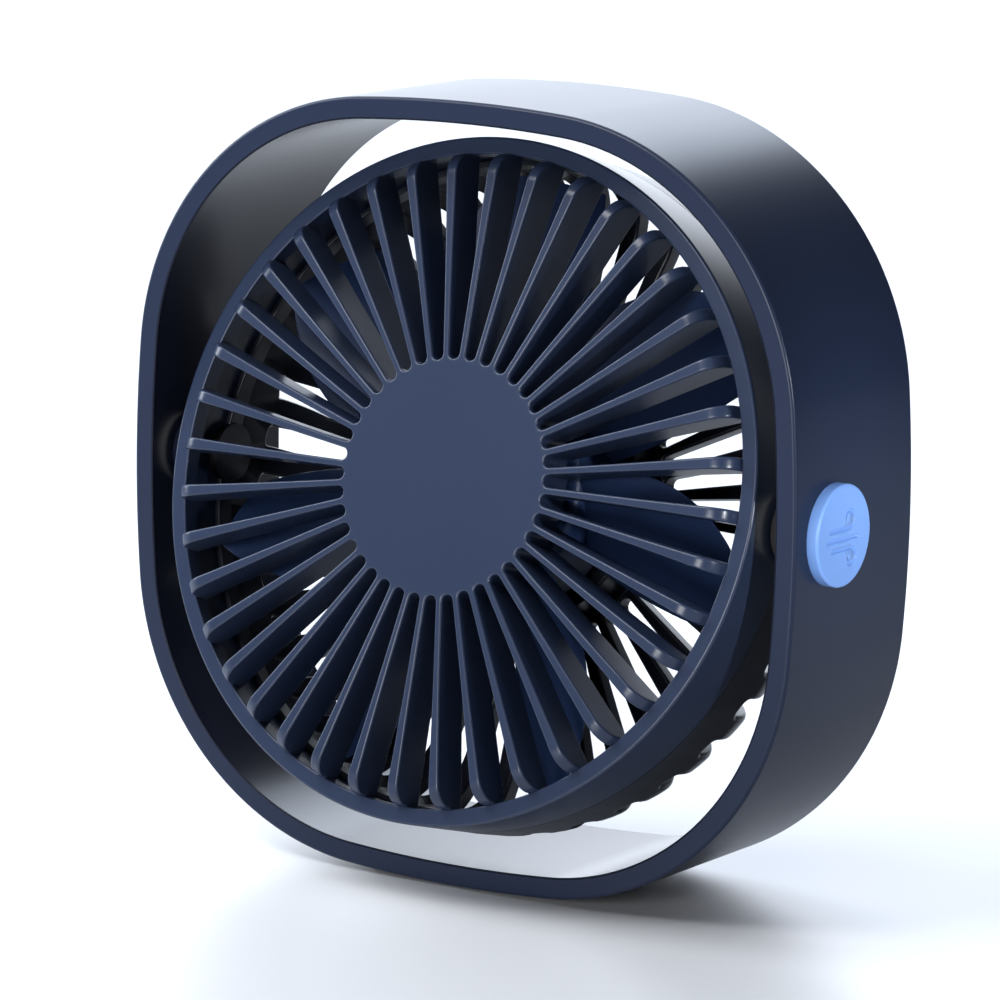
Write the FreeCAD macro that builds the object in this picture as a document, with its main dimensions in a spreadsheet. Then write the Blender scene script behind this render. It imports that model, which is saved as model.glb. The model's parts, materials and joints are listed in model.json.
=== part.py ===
import FreeCAD, Part
import math
import os

import Sketcher
from FreeCAD import Placement, Rotation, Vector

# Desk fan: a round fan head that tilts inside a rounded-square ring stand.
# Millimetres, +Z up. The origin is on the standing surface, under the middle of the ring's depth.
# The front faces -Y. Ring parts are drawn about the middle of the ring, pivot parts about the pivot
# axis (X), and head parts about the same point with their own +Z along the fan axis, to the front.

SIZES = {
    # ring stand
    "ring_half": 75.0,
    "ring_side_radius": 301.0,
    "ring_corner_radius": 55.5,
    "ring_depth": 42.4,
    "ring_thickness": 4.27,
    "ring_edge_fillet": 0.7,
    "shell_wall": 1.9,
    "liner_wall": 1.5,
    "lip_depth": 1.6,
    "tongue_wall": 0.5,
    "fit_gap": 0.05,
    # foot
    "foot_proud": 0.4,
    "foot_width": 42.0,
    "foot_length": 34.0,
    "foot_top": 1.45,
    # tilt pivot, stations along X
    "pivot_forward": 7.6,
    "tilt_angle": 15.1,
    "boss_radius": 7.0,
    "boss_inner": 68.7,
    "bush_radius": 5.0,
    "bush_flange_radius": 6.5,
    "bush_inner": 67.1,
    "bush_outer": 72.2,
    "pin_radius": 3.5,
    "pin_running_gap": 0.05,
    "pin_flange_radius": 5.8,
    "pin_flange_inner": 61.05,
    "pin_flange_outer": 62.65,
    "pin_end": 73.0,
    "washer_inner": 65.5,
    "washer_outer": 67.0,
    "retainer_radius": 5.0,
    "retainer_outer": 73.75,
    "screw_radius": 1.25,
    "screw_inner": 66.0,
    "screw_head_radius": 2.4,
    "screw_head_end": 75.2,
    "screw_drive_radius": 0.9,
    "screw_drive_depth": 0.8,
    "cap_radius": 9.6,
    "cap_seat": 74.8,
    "cap_face": 77.3,
    "cap_edge": 0.4,
    "cap_spigot_radius": 8.1,
    "cap_bore_radius": 6.4,
    "cap_bore_end": 75.9,
    # head shells
    "head_radius": 65.4,
    "head_edge": 0.6,
    "rim_opening": 62.1,
    "rim_front": 13.3,
    "grille_front": 17.8,
    "grille_shoulder": 4.5,
    "rib_back": 9.5,
    "front_wall_inner": 63.2,
    "hub_disc_thickness": 1.8,
    "hub_skirt_inner": 21.2,
    "slot_inner": 22.4,
    "slot_inner_half": 1.1,
    "slot_outer": 61.98,
    "slot_outer_half": 3.72,
    "slot_count": 40.0,
    "seam_gap": 0.05,
    "rear_edge_start": 10.7,
    "rear_edge_radius": 14.0,
    "rear_wall": 2.4,
    "rear_slot_inner": 26.0,
    "rear_slot_inner_half": 1.15,
    "rear_slot_outer_half": 2.9,
    "rear_slot_reach": 70.0,
    "lip_radius": 63.05,
    "lip_wall": 1.2,
    "lip_height": 2.0,
    "cup_radius": 24.2,
    "cup_wall": 1.6,
    "floor_front": 13.0,
    "floor_thickness": 1.6,
    # motor
    "motor_base_radius": 12.0,
    "motor_base_thickness": 1.5,
    "bearing_tube_radius": 5.2,
    "bearing_radius": 4.0,
    "bearing_bore": 1.53,
    "bearing_length": 3.0,
    "bearing_tube_top": 1.5,
    "bearing_low": 10.9,
    "shaft_radius": 1.5,
    "shaft_top": 4.2,
    "shaft_bottom": 12.2,
    "circlip_radius": 2.8,
    "circlip_top": 11.05,
    "circlip_thickness": 0.4,
    "circlip_groove": 0.3,
    "circlip_mouth": 2.2,
    "core_radius": 14.8,
    "core_yoke_radius": 8.0,
    "core_bottom": 8.5,
    "core_height": 6.0,
    "tooth_width": 2.4,
    "shoe_half_angle": 15.0,
    "shoe_depth": 1.4,
    "shoe_slant": 0.4,
    "coil_width": 4.6,
    "coil_height": 8.4,
    "coil_inner": 8.6,
    "coil_outer": 12.9,
    "tooth_count": 9.0,
    "motor_board_radius": 11.6,
    "motor_board_bottom": 11.4,
    "board_thickness": 1.0,
    "motor_screw_circle": 9.0,
    "motor_screw_radius": 1.0,
    "motor_screw_head": 2.0,
    "motor_screw_head_height": 1.5,
    "yoke_radius": 19.9,
    "yoke_wall": 1.2,
    "yoke_bottom": 9.6,
    "yoke_top": 3.0,
    "hub_boss_radius": 2.95,
    "magnet_bore": 15.3,
    "magnet_bottom": 8.9,
    "magnet_height": 7.0,
    # impeller
    "hub_radius": 22.4,
    "hub_front": 5.2,
    "hub_back": 10.2,
    "hub_edge": 2.0,
    "blade_count": 7.0,
    "blade_tip_radius": 60.0,
    "blade_root_lead": 11.0,
    "blade_root_trail": 7.0,
    "blade_root_front": 4.6,
    "blade_root_back": 7.4,
    "blade_root_thickness": 2.2,
    "blade_middle_lead": 17.0,
    "blade_middle_trail": 9.0,
    "blade_middle_front": 5.0,
    "blade_middle_back": 8.3,
    "blade_middle_thickness": 1.9,
    "blade_tip_lead": 4.0,
    "blade_tip_trail": 9.5,
    "blade_tip_front": 5.5,
    "blade_tip_back": 9.5,
    "blade_tip_thickness": 1.6,
    "blade_root_station": 17.5,
    "blade_middle_station": 36.0,
    "blade_tip_station": 62.0,
    # electronics in the rear hub
    "cover_radius": 22.4,
    "cover_thickness": 1.6,
    "cover_skirt_wall": 1.2,
    "cover_skirt_height": 3.2,
    "control_board_radius": 19.6,
    "control_board_bottom": 18.1,
    "board_post_offset_x": 15.0,
    "board_post_offset_y": 7.0,
    "board_post_radius": 2.2,
    "board_screw_radius": 1.0,
    "board_screw_head": 1.9,
    "board_screw_head_height": 1.2,
    "board_screw_reach": 3.0,
    "usb_offset": 13.5,
    "usb_width": 8.94,
    "usb_height": 3.26,
    "usb_wall": 0.3,
    "usb_floor": 0.8,
    "usb_tongue_width": 6.6,
    "usb_tongue_height": 0.7,
    "usb_tongue_set_back": 0.6,
    "usb_end": 24.5,
    "usb_clearance": 0.3,
    "switch_side": 6.0,
    "switch_end": 21.2,
    "plunger_radius": 1.7,
    "plunger_gap": 0.3,
    "button_travel": 0.6,
    "plunger_back": 22.15,
    "plunger_front": 20.4,
    "button_radius": 6.0,
    "button_gap": 0.3,
    "button_flange": 7.2,
    "button_end": 25.7,
    "led_offset": 12.5,
    "led_length": 3.0,
    "led_width": 2.2,
    "led_height": 0.8,
    "led_pipe_radius": 1.1,
    "lead_radius": 0.45,
    "lead_pitch": 1.2,
    "lead_drop": 14.6,
    "lead_bend": 1.3,
    "lead_hole": 2.9,
}

PAST = 1.0  # how far a cutting tool runs past what it cuts
ROOT = 0.2  # how far a joined feature reaches into what it stands on
PRESS = 0.02  # clearance of parts that are pressed together

DOC = FreeCAD.newDocument("desk_fan")
MADE = []  # (label, object) of every sub-part


# ---------------------------------------------------------------- sizes tied to the sheet


class Size:
    """A length together with the sheet expression that drives it."""

    def __init__(self, value, text):
        self.value = float(value)
        self.text = text

    def __add__(self, other):
        other = as_size(other)
        return Size(self.value + other.value, f"({self.text} + {other.text})")

    def __sub__(self, other):
        other = as_size(other)
        return Size(self.value - other.value, f"({self.text} - {other.text})")

    def __mul__(self, factor):
        factor = as_size(factor)
        return Size(self.value * factor.value, f"({self.text} * {factor.text})")

    def __neg__(self):
        return Size(-self.value, f"(0 - {self.text})")


class Sheet:
    """Gives each driving dimension as a Size, by name: SZ.ring_half."""

    def __getattr__(self, name):
        return Size(SIZES[name], f"Sizes.{name}")


SZ = Sheet()


def as_size(number):
    return number if isinstance(number, Size) else Size(number, f"({number})")


def make_sheet():
    sheet = DOC.addObject("Spreadsheet::Sheet", "Sizes")
    for row, (alias, value) in enumerate(SIZES.items(), start=1):
        sheet.set(f"A{row}", alias)
        sheet.set(f"B{row}", str(value))
        sheet.setAlias(f"B{row}", alias)
    DOC.recompute()


def bind(thing, prop, length):
    length = as_size(length)
    setattr(thing, prop, length.value)
    thing.setExpression(prop, length.text)


def bind_place(thing, x=0.0, y=0.0, z=0.0, rotation=Rotation()):
    """Places a solid at a point whose three coordinates are driven by the sheet."""
    point = [as_size(value) for value in (x, y, z)]
    thing.Placement = Placement(Vector(*[p.value for p in point]), rotation)
    for axis, p in zip("xyz", point):
        thing.setExpression(f"Placement.Base.{axis}", p.text)


def finish_part(label, thing, home):
    """Names a sub-part and puts it in its home frame: ring, pivot or head."""
    thing.Label = label
    centre = SZ.ring_half + SZ.foot_proud
    forward = -SZ.pivot_forward if home in ("pivot", "head") else as_size(0)
    bind_place(thing, 0, forward, centre)
    if home == "head":
        angle = 90.0 - SIZES["tilt_angle"]
        thing.Placement = Placement(thing.Placement.Base, Rotation(Vector(1, 0, 0), angle))
        thing.setExpression("Placement.Rotation.Angle", "90 deg - Sizes.tilt_angle * 1 deg")
    MADE.append((label, thing))
    return thing


# ---------------------------------------------------------------- sketches


def new_body(name):
    return DOC.addObject("PartDesign::Body", name)


def sketch_on(body, plane="XY_Plane", offset=0.0):
    """A sketch on one of the body's own origin planes, moved along that plane's normal."""
    sketch = body.newObject("Sketcher::SketchObject", "Sketch")
    origin = next(f for f in body.Origin.OriginFeatures if f.Role == plane)
    sketch.AttachmentSupport = (origin, [""])
    sketch.MapMode = "FlatFace"
    offset = as_size(offset)
    sketch.AttachmentOffset = Placement(Vector(0, 0, offset.value), Rotation())
    sketch.setExpression("AttachmentOffset.Base.z", offset.text)
    return sketch


def constrain(sketch, length, *constraint):
    index = sketch.addConstraint(Sketcher.Constraint(*constraint, length.value))
    sketch.setExpression(f"Constraints[{index}]", length.text)


def hold_point(sketch, edge, end, x, y):
    """Fixes one end of an edge at (x, y)."""
    for kind, axis, length in (("DistanceX", -2, as_size(x)), ("DistanceY", -1, as_size(y))):
        if length.value == 0:
            sketch.addConstraint(Sketcher.Constraint("PointOnObject", edge, end, axis))
        elif length.value > 0:
            constrain(sketch, length, kind, -1, 1, edge, end)
        else:
            constrain(sketch, -length, kind, edge, end, -1, 1)


def draw_circle(sketch, radius, x=0.0, y=0.0):
    radius, x, y = as_size(radius), as_size(x), as_size(y)
    circle = Part.Circle(Vector(x.value, y.value, 0), Vector(0, 0, 1), radius.value)
    edge = sketch.addGeometry(circle)
    constrain(sketch, radius, "Radius", edge)
    hold_point(sketch, edge, 3, x, y)


def draw_outline(sketch, corners):
    """A closed outline. A corner is (x, y), or (x, y, radius) where an arc leaves it for the next
    corner: a positive radius turns left on the way, a negative one turns right."""
    points = [(as_size(c[0]), as_size(c[1])) for c in corners]
    flat = [Vector(x.value, y.value, 0) for x, y in points]
    joints = []
    for i, corner in enumerate(corners):
        start, end = flat[i], flat[(i + 1) % len(flat)]
        if len(corner) == 2:
            edge = sketch.addGeometry(Part.LineSegment(start, end))
            joints.append((edge, 1, 2))
            continue
        radius = as_size(corner[2])
        centre = arc_centre(start, end, radius.value)
        left = radius.value > 0
        first, last = (start, end) if left else (end, start)
        angles = [math.atan2(p.y - centre.y, p.x - centre.x) for p in (first, last)]
        circle = Part.Circle(centre, Vector(0, 0, 1), abs(radius.value))
        edge = sketch.addGeometry(Part.ArcOfCircle(circle, *angles))
        joints.append((edge, 1, 2) if left else (edge, 2, 1))
        constrain(sketch, radius if left else -radius, "Radius", edge)
    for i, (edge, start, _) in enumerate(joints):
        before, _, end = joints[i - 1]
        sketch.addConstraint(Sketcher.Constraint("Coincident", before, end, edge, start))
        hold_point(sketch, edge, start, *points[i])


def arc_centre(start, end, radius):
    """The centre of the shorter arc from start to end that turns left, or right if radius < 0."""
    chord = end - start
    half = chord.Length / 2
    rise = math.sqrt(max(radius * radius - half * half, 0.0))
    side = Vector(-chord.y, chord.x, 0).normalize() * math.copysign(rise, radius)
    return (start + end) / 2 + side


def draw_squircle(sketch, inset=0.0):
    """A square with gently curved sides and round corners, inset from the ring's outside."""
    side = SZ.ring_side_radius - inset
    corner = SZ.ring_corner_radius - inset
    reach = SIZES["ring_side_radius"] - SIZES["ring_half"]
    spread = SIZES["ring_side_radius"] - SIZES["ring_corner_radius"]
    offset = (math.sqrt(2 * spread ** 2 - reach ** 2) - reach) / 2
    half_angle = math.atan2(offset, offset + reach)
    edges = []
    for turn in range(4):
        middle = turn * math.pi / 2
        heading = Vector(math.cos(middle), math.sin(middle), 0)
        across = Vector(-heading.y, heading.x, 0)
        side_arc = Part.Circle(heading * -reach, Vector(0, 0, 1), side.value)
        corner_arc = Part.Circle((heading + across) * offset, Vector(0, 0, 1), corner.value)
        ends = (middle - half_angle, middle + half_angle)
        edges.append(sketch.addGeometry(Part.ArcOfCircle(side_arc, *ends)))
        ends = (middle + half_angle, middle + math.pi / 2 - half_angle)
        edges.append(sketch.addGeometry(Part.ArcOfCircle(corner_arc, *ends)))
    for turn in range(4):
        edge = edges[2 * turn]
        away = SZ.ring_side_radius - SZ.ring_half
        centre = [(-away, 0.0), (0.0, -away), (away, 0.0), (0.0, away)][turn]
        constrain(sketch, side, "Radius", edge)
        hold_point(sketch, edge, 3, *centre)
        constrain(sketch, corner, "Radius", edges[2 * turn + 1])
    for i, edge in enumerate(edges):
        sketch.addConstraint(Sketcher.Constraint("Tangent", edges[i - 1], 2, edge, 1))


# ---------------------------------------------------------------- features of a body


def pad(body, sketch, length):
    feature = body.newObject("PartDesign::Pad", "Pad")
    feature.Profile = sketch
    bind(feature, "Length", length)
    return feature


def pocket(body, sketch, length=None, along_normal=False):
    """Cuts against the sketch plane's normal, or along it. No length means right through."""
    before = solid_volume(body)
    feature = body.newObject("PartDesign::Pocket", "Pocket")
    feature.Profile = sketch
    feature.Reversed = along_normal
    if length is None:
        feature.Type = "ThroughAll"
    else:
        bind(feature, "Length", length)
    if solid_volume(body) >= before:
        raise RuntimeError(f"a pocket of {body.Name} cuts nothing")
    return feature


def revolve(body, sketch):
    feature = body.newObject("PartDesign::Revolution", "Revolution")
    feature.Profile = sketch
    feature.ReferenceAxis = (sketch, ["V_Axis"])
    feature.Angle = 360.0
    return feature


def polar(body, feature, count, sketch):
    """Repeats a feature evenly about the normal axis through the sketch's origin."""
    pattern = body.newObject("PartDesign::PolarPattern", "PolarPattern")
    pattern.Originals = [feature]
    pattern.Axis = (sketch, ["N_Axis"])
    pattern.Angle = 360.0
    pattern.Occurrences = int(count.value)
    pattern.setExpression("Occurrences", count.text)
    body.Tip = pattern
    return pattern


def fillet(body, radius, chosen):
    """Rounds the edges of the body's last feature for which chosen(edge) is true."""
    DOC.recompute()
    base = body.Tip
    names = [f"Edge{i}" for i, e in enumerate(base.Shape.Edges, start=1) if chosen(e)]
    feature = body.newObject("PartDesign::Fillet", "Fillet")
    feature.Base = (base, names)
    bind(feature, "Radius", radius)
    return feature


def solid_volume(body):
    DOC.recompute()
    return body.Shape.Volume


# ---------------------------------------------------------------- plain solids


def post(radius, bottom, top, x=0.0, y=0.0):
    """A round post along Z."""
    solid = DOC.addObject("Part::Cylinder", "Post")
    bind(solid, "Radius", radius)
    bind(solid, "Height", as_size(top) - bottom)
    bind_place(solid, x, y, bottom)
    return solid


def axle(radius, inner, outer):
    """A round bar along X, on the pivot axis."""
    solid = DOC.addObject("Part::Cylinder", "Axle")
    bind(solid, "Radius", radius)
    bind(solid, "Height", as_size(outer) - inner)
    bind_place(solid, inner, 0, 0, Rotation(Vector(0, 1, 0), 90))
    return solid


def block(low, high):
    """A box between two corners."""
    low = [as_size(v) for v in low]
    high = [as_size(v) for v in high]
    solid = DOC.addObject("Part::Box", "Block")
    for prop, a, b in zip(("Length", "Width", "Height"), low, high):
        bind(solid, prop, b - a)
    bind_place(solid, *low)
    return solid


def cut(base, *tools):
    for tool in tools:
        result = DOC.addObject("Part::Cut", "Cut")
        result.Base = base
        result.Tool = tool
        base = result
    return base


def fuse(*solids):
    result = DOC.addObject("Part::MultiFuse", "Fusion")
    result.Shapes = list(solids)
    result.Refine = True
    return result


def group(*solids):
    """Several separate solids that make one node."""
    result = DOC.addObject("Part::Compound", "Group")
    result.Links = list(solids)
    return result


def both_sides(solid):
    """The solid and its mirror image on the other side of the YZ plane."""
    mirror = DOC.addObject("Part::Mirroring", "Mirror")
    mirror.Source = solid
    mirror.Normal = Vector(1, 0, 0)
    return group(solid, mirror)


def turned(solid, angle):
    """A copy of a solid turned about Z."""
    copy = DOC.addObject("Part::Compound", "Turned")
    copy.Links = [solid]
    copy.Placement = Placement(Vector(), Rotation(Vector(0, 0, 1), angle))
    return copy


# ---------------------------------------------------------------- ring stand


def is_front_edge(edge):
    return edge.BoundBox.YMax < -SIZES["ring_depth"] / 2 + SIZES["fit_gap"]


def make_stand_shell():
    """The outer wall with the front lip, open at the back and inside."""
    body = new_body("stand_shell")
    half_depth = SZ.ring_depth * 0.5
    outside = sketch_on(body, "XZ_Plane", -half_depth)
    draw_squircle(outside)
    pad(body, outside, SZ.ring_depth)
    fillet(body, SZ.ring_edge_fillet, is_front_edge)
    opening = sketch_on(body, "XZ_Plane", half_depth)
    draw_squircle(opening, SZ.ring_thickness - SZ.tongue_wall - SZ.fit_gap)
    pocket(body, opening)
    hollow = sketch_on(body, "XZ_Plane", half_depth - SZ.lip_depth)
    draw_squircle(hollow, SZ.shell_wall)
    pocket(body, hollow)
    for side in (1, -1):
        seat = sketch_on(body, "YZ_Plane", SZ.cap_seat * side)
        draw_circle(seat, SZ.cap_radius + SZ.fit_gap, -SZ.pivot_forward, 0)
        pocket(body, seat, SZ.ring_half, along_normal=side > 0)
        hole = sketch_on(body, "YZ_Plane")
        draw_circle(hole, SZ.cap_spigot_radius + SZ.fit_gap, -SZ.pivot_forward, 0)
        pocket(body, hole, SZ.ring_half * 2, along_normal=side > 0)
    foot = sketch_on(body, "XY_Plane", SZ.foot_top - SZ.foot_proud - SZ.ring_half + SZ.fit_gap)
    draw_foot(foot, SZ.fit_gap)
    pocket(body, foot, SZ.foot_top + PAST)
    return finish_part("stand_shell", body, "ring")


def draw_foot(sketch, gap):
    """The outline of the rubber foot in plan, or of its pocket."""
    side = SZ.foot_width * 0.5 + gap
    end = SZ.foot_length * 0.5 + gap
    draw_outline(sketch, [(-side, -end), (side, -end), (side, end), (-side, end)])


def make_stand_liner():
    """The inner wall. Its thin front tongue shows at the rim and its rear lip closes the ring."""
    body = new_body("stand_liner")
    half_depth = SZ.ring_depth * 0.5
    step = half_depth - SZ.lip_depth - SZ.fit_gap
    wall = sketch_on(body, "XZ_Plane", -half_depth)
    draw_squircle(wall, SZ.ring_thickness - SZ.liner_wall)
    pad(body, wall, half_depth + step)
    tongue = sketch_on(body, "XZ_Plane", step)
    draw_squircle(tongue, SZ.ring_thickness - SZ.tongue_wall)
    pad(body, tongue, half_depth - step)
    rear = sketch_on(body, "XZ_Plane", -half_depth)
    draw_squircle(rear, SZ.shell_wall + SZ.fit_gap)
    pad(body, rear, SZ.lip_depth)
    inside = sketch_on(body, "XZ_Plane", half_depth)
    draw_squircle(inside, SZ.ring_thickness)
    pocket(body, inside)
    for side in (1, -1):
        boss = sketch_on(body, "YZ_Plane", SZ.boss_inner * side)
        draw_circle(boss, SZ.boss_radius, -SZ.pivot_forward, 0)
        feature = pad(body, boss, SZ.ring_half - SZ.ring_thickness + ROOT - SZ.boss_inner)
        feature.Reversed = side < 0
        hole = sketch_on(body, "YZ_Plane")
        draw_circle(hole, SZ.bush_radius + SZ.fit_gap, -SZ.pivot_forward, 0)
        pocket(body, hole, SZ.ring_half, along_normal=side > 0)
    return finish_part("stand_liner", body, "ring")


def make_foot_pad():
    body = new_body("foot_pad")
    sketch = sketch_on(body, "XY_Plane", -SZ.foot_proud - SZ.ring_half)
    draw_foot(sketch, as_size(0))
    pad(body, sketch, SZ.foot_top)
    return finish_part("foot_pad", body, "ring")


# ---------------------------------------------------------------- tilt pivot


def make_pivot_bushes():
    flange = axle(SZ.bush_flange_radius, SZ.bush_inner, SZ.boss_inner - SZ.fit_gap)
    sleeve = axle(SZ.bush_radius, SZ.bush_inner, SZ.bush_outer)
    bore = axle(SZ.pin_radius + SZ.pin_running_gap, SZ.bush_inner - PAST, SZ.bush_outer + PAST)
    return finish_part("pivot_bushes", both_sides(cut(fuse(flange, sleeve), bore)), "pivot")


def make_pivot_pins():
    flange = axle(SZ.pin_flange_radius, SZ.pin_flange_inner, SZ.pin_flange_outer)
    shank = axle(SZ.pin_radius, SZ.pin_flange_inner, SZ.pin_end)
    bore = axle(SZ.screw_radius + SZ.fit_gap, SZ.screw_inner - PAST, SZ.pin_end + PAST)
    return finish_part("pivot_pins", both_sides(cut(fuse(flange, shank), bore)), "head")


def make_friction_washers():
    disc = axle(SZ.bush_flange_radius, SZ.washer_inner, SZ.washer_outer)
    hole = SZ.pin_radius + SZ.pin_running_gap
    bore = axle(hole, SZ.washer_inner - PAST, SZ.washer_outer + PAST)
    return finish_part("friction_washers", both_sides(cut(disc, bore)), "head")


def make_retaining_washers():
    disc = axle(SZ.retainer_radius, SZ.pin_end + SZ.fit_gap, SZ.retainer_outer)
    bore = axle(SZ.screw_radius + SZ.fit_gap, SZ.pin_end - PAST, SZ.retainer_outer + PAST)
    return finish_part("retaining_washers", both_sides(cut(disc, bore)), "head")


def make_pivot_screws():
    thread = axle(SZ.screw_radius, SZ.screw_inner, SZ.screw_head_end)
    head = axle(SZ.screw_head_radius, SZ.retainer_outer + SZ.fit_gap, SZ.screw_head_end)
    floor = SZ.screw_head_end - SZ.screw_drive_depth
    socket = axle(SZ.screw_drive_radius, floor, SZ.screw_head_end + PAST)
    return finish_part("pivot_screws", both_sides(cut(fuse(thread, head), socket)), "head")


def make_pivot_cap(label, side):
    """A push-in cap: a disc over the pivot with a spigot in the shell's hole."""
    disc = axle(SZ.cap_radius, SZ.cap_seat, SZ.cap_face)
    spigot = axle(SZ.cap_spigot_radius, SZ.bush_outer + SZ.fit_gap, SZ.cap_seat + ROOT)
    bore = axle(SZ.cap_bore_radius, SZ.bush_outer - PAST, SZ.cap_bore_end)
    cap = cut(fuse(disc, spigot), bore)
    DOC.recompute()
    rounded = DOC.addObject("Part::Fillet", "Rounded")
    rounded.Base = cap
    face = SIZES["cap_face"] - SIZES["fit_gap"]
    edge = next(i for i, e in enumerate(cap.Shape.Edges, start=1) if e.BoundBox.XMin > face)
    rounded.Edges = [(edge, SIZES["cap_edge"], SIZES["cap_edge"])]
    if side > 0:
        return finish_part(label, rounded, "pivot")
    mirror = DOC.addObject("Part::Mirroring", "Mirror")
    mirror.Source = rounded
    mirror.Normal = Vector(1, 0, 0)
    return finish_part(label, group(mirror), "pivot")


# ---------------------------------------------------------------- head shells


def cut_pin_holes(body):
    """Half of each pivot pin's hole lies in this shell, at the seam."""
    for side in (1, -1):
        sketch = sketch_on(body, "YZ_Plane", SZ.pin_flange_outer * side)
        draw_circle(sketch, SZ.pin_radius + SZ.fit_gap)
        pocket(body, sketch, SZ.pin_end - SZ.pin_flange_outer, along_normal=side > 0)


def draw_slot(sketch, inner, inner_half, outer, outer_half, end_radius=None):
    """A radial slot along +X that widens outwards to a straight end, or to an arc."""
    end = (outer, -outer_half) if end_radius is None else (outer, -outer_half, end_radius)
    draw_outline(sketch, [(inner, -inner_half), end, (outer, outer_half), (inner, inner_half)])


def turn_slot(sketch, height):
    """Turns the first slot half a pitch off the X axis, so that a rib lies on each main axis."""
    half_pitch = 180 / SIZES["slot_count"]
    base = sketch.AttachmentOffset.Base
    sketch.AttachmentOffset = Placement(base, Rotation(Vector(0, 0, 1), half_pitch))
    sketch.setExpression("AttachmentOffset.Base.z", height.text)


def make_front_grille():
    """Rim, side wall, raised grille pan and hub disc in one moulding."""
    body = new_body("front_grille")
    profile = sketch_on(body, "XZ_Plane")
    shoulder = SZ.rim_opening - SZ.grille_shoulder
    draw_outline(profile, [
        (SZ.head_radius, SZ.seam_gap),
        (SZ.head_radius, SZ.rim_front - SZ.head_edge),
        (SZ.head_radius - SZ.head_edge, SZ.rim_front),
        (SZ.rim_opening, SZ.rim_front, SZ.grille_shoulder),
        (shoulder, SZ.grille_front),
        (0, SZ.grille_front),
        (0, SZ.grille_front - SZ.hub_disc_thickness),
        (SZ.hub_skirt_inner, SZ.grille_front - SZ.hub_disc_thickness),
        (SZ.hub_skirt_inner, SZ.rib_back),
        (SZ.front_wall_inner, SZ.rib_back),
        (SZ.front_wall_inner, SZ.seam_gap),
    ])
    revolve(body, profile)
    above = SZ.grille_front + PAST
    slot = sketch_on(body, "XY_Plane", above)
    draw_slot(slot, SZ.slot_inner, SZ.slot_inner_half, SZ.slot_outer, SZ.slot_outer_half,
              SZ.rim_opening)
    opening = pocket(body, slot, above - SZ.rib_back + PAST)
    turn_slot(slot, above)
    polar(body, opening, SZ.slot_count, slot)
    cut_pin_holes(body)
    return finish_part("front_grille", body, "head")


def make_rear_grille():
    """Side wall, rounded rear edge, radial slots and the cup for the motor and electronics."""
    body = new_body("rear_grille")
    profile = sketch_on(body, "XZ_Plane")
    back = -SZ.rear_edge_start - SZ.rear_edge_radius
    flat = SZ.head_radius - SZ.rear_edge_radius
    inner_radius = SZ.rear_edge_radius - SZ.rear_wall
    cup_inner = SZ.cup_radius - SZ.cup_wall
    draw_outline(profile, [
        (SZ.head_radius, -SZ.seam_gap),
        (SZ.head_radius, -SZ.rear_edge_start, -SZ.rear_edge_radius),
        (flat, back),
        (cup_inner, back),
        (cup_inner, -SZ.floor_front - SZ.floor_thickness),
        (0, -SZ.floor_front - SZ.floor_thickness),
        (0, -SZ.floor_front),
        (SZ.cup_radius, -SZ.floor_front),
        (SZ.cup_radius, back + SZ.rear_wall),
        (flat, back + SZ.rear_wall, inner_radius),
        (SZ.head_radius - SZ.rear_wall, -SZ.rear_edge_start),
        (SZ.head_radius - SZ.rear_wall, -SZ.seam_gap),
    ])
    revolve(body, profile)
    below = back - PAST
    slot = sketch_on(body, "XY_Plane", below)
    draw_slot(slot, SZ.rear_slot_inner, SZ.rear_slot_inner_half,
              SZ.rear_slot_reach, SZ.rear_slot_outer_half)
    opening = pocket(body, slot, SZ.rear_edge_radius + PAST, along_normal=True)
    turn_slot(slot, below)
    polar(body, opening, SZ.slot_count, slot)
    lip = sketch_on(body, "XZ_Plane")
    low = -SZ.lip_height
    draw_outline(lip, [
        (SZ.lip_radius, low),
        (SZ.lip_radius, SZ.lip_height),
        (SZ.lip_radius - SZ.lip_wall, SZ.lip_height),
        (SZ.lip_radius - SZ.lip_wall, low),
    ])
    revolve(body, lip)
    for side in (1, -1):
        start = SZ.pin_flange_inner - PAST
        gap = sketch_on(body, "YZ_Plane", start * side)
        draw_circle(gap, SZ.pin_flange_radius + SZ.fit_gap)
        pocket(body, gap, SZ.pin_flange_outer + SZ.fit_gap - start, along_normal=side > 0)
    cut_pin_holes(body)
    add_board_posts(body)
    cut_floor_holes(body)
    return finish_part("rear_grille", body, "head")


def board_post_places():
    return [(SZ.board_post_offset_x * side, SZ.board_post_offset_y) for side in (1, -1)]


def motor_screw_places():
    """Three screws evenly round the motor base, one of them straight up."""
    places = []
    for angle in (90, 210, 330):
        turn = math.radians(angle)
        places.append((SZ.motor_screw_circle * math.cos(turn), SZ.motor_screw_circle * math.sin(turn)))
    return places


def add_board_posts(body):
    """Two hollow posts under the floor carry the control board."""
    floor = -SZ.floor_front - SZ.floor_thickness
    board_top = -SZ.control_board_bottom + SZ.board_thickness
    posts = sketch_on(body, "XY_Plane", board_top + SZ.fit_gap)
    for x, y in board_post_places():
        draw_circle(posts, SZ.board_post_radius, x, y)
    pad(body, posts, floor - board_top + ROOT)
    holes = sketch_on(body, "XY_Plane", board_top)
    for x, y in board_post_places():
        draw_circle(holes, SZ.board_screw_radius + SZ.fit_gap, x, y)
    pocket(body, holes, floor - board_top, along_normal=True)


def cut_floor_holes(body):
    """Holes for the motor screws and for the leads."""
    holes = sketch_on(body, "XY_Plane", -SZ.floor_front + PAST)
    for x, y in motor_screw_places():
        draw_circle(holes, SZ.motor_screw_radius + SZ.fit_gap * 2, x, y)
    draw_circle(holes, SZ.lead_hole, -SZ.lead_drop, 0)
    pocket(body, holes, SZ.floor_thickness + 2 * PAST)


# ---------------------------------------------------------------- motor


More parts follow.
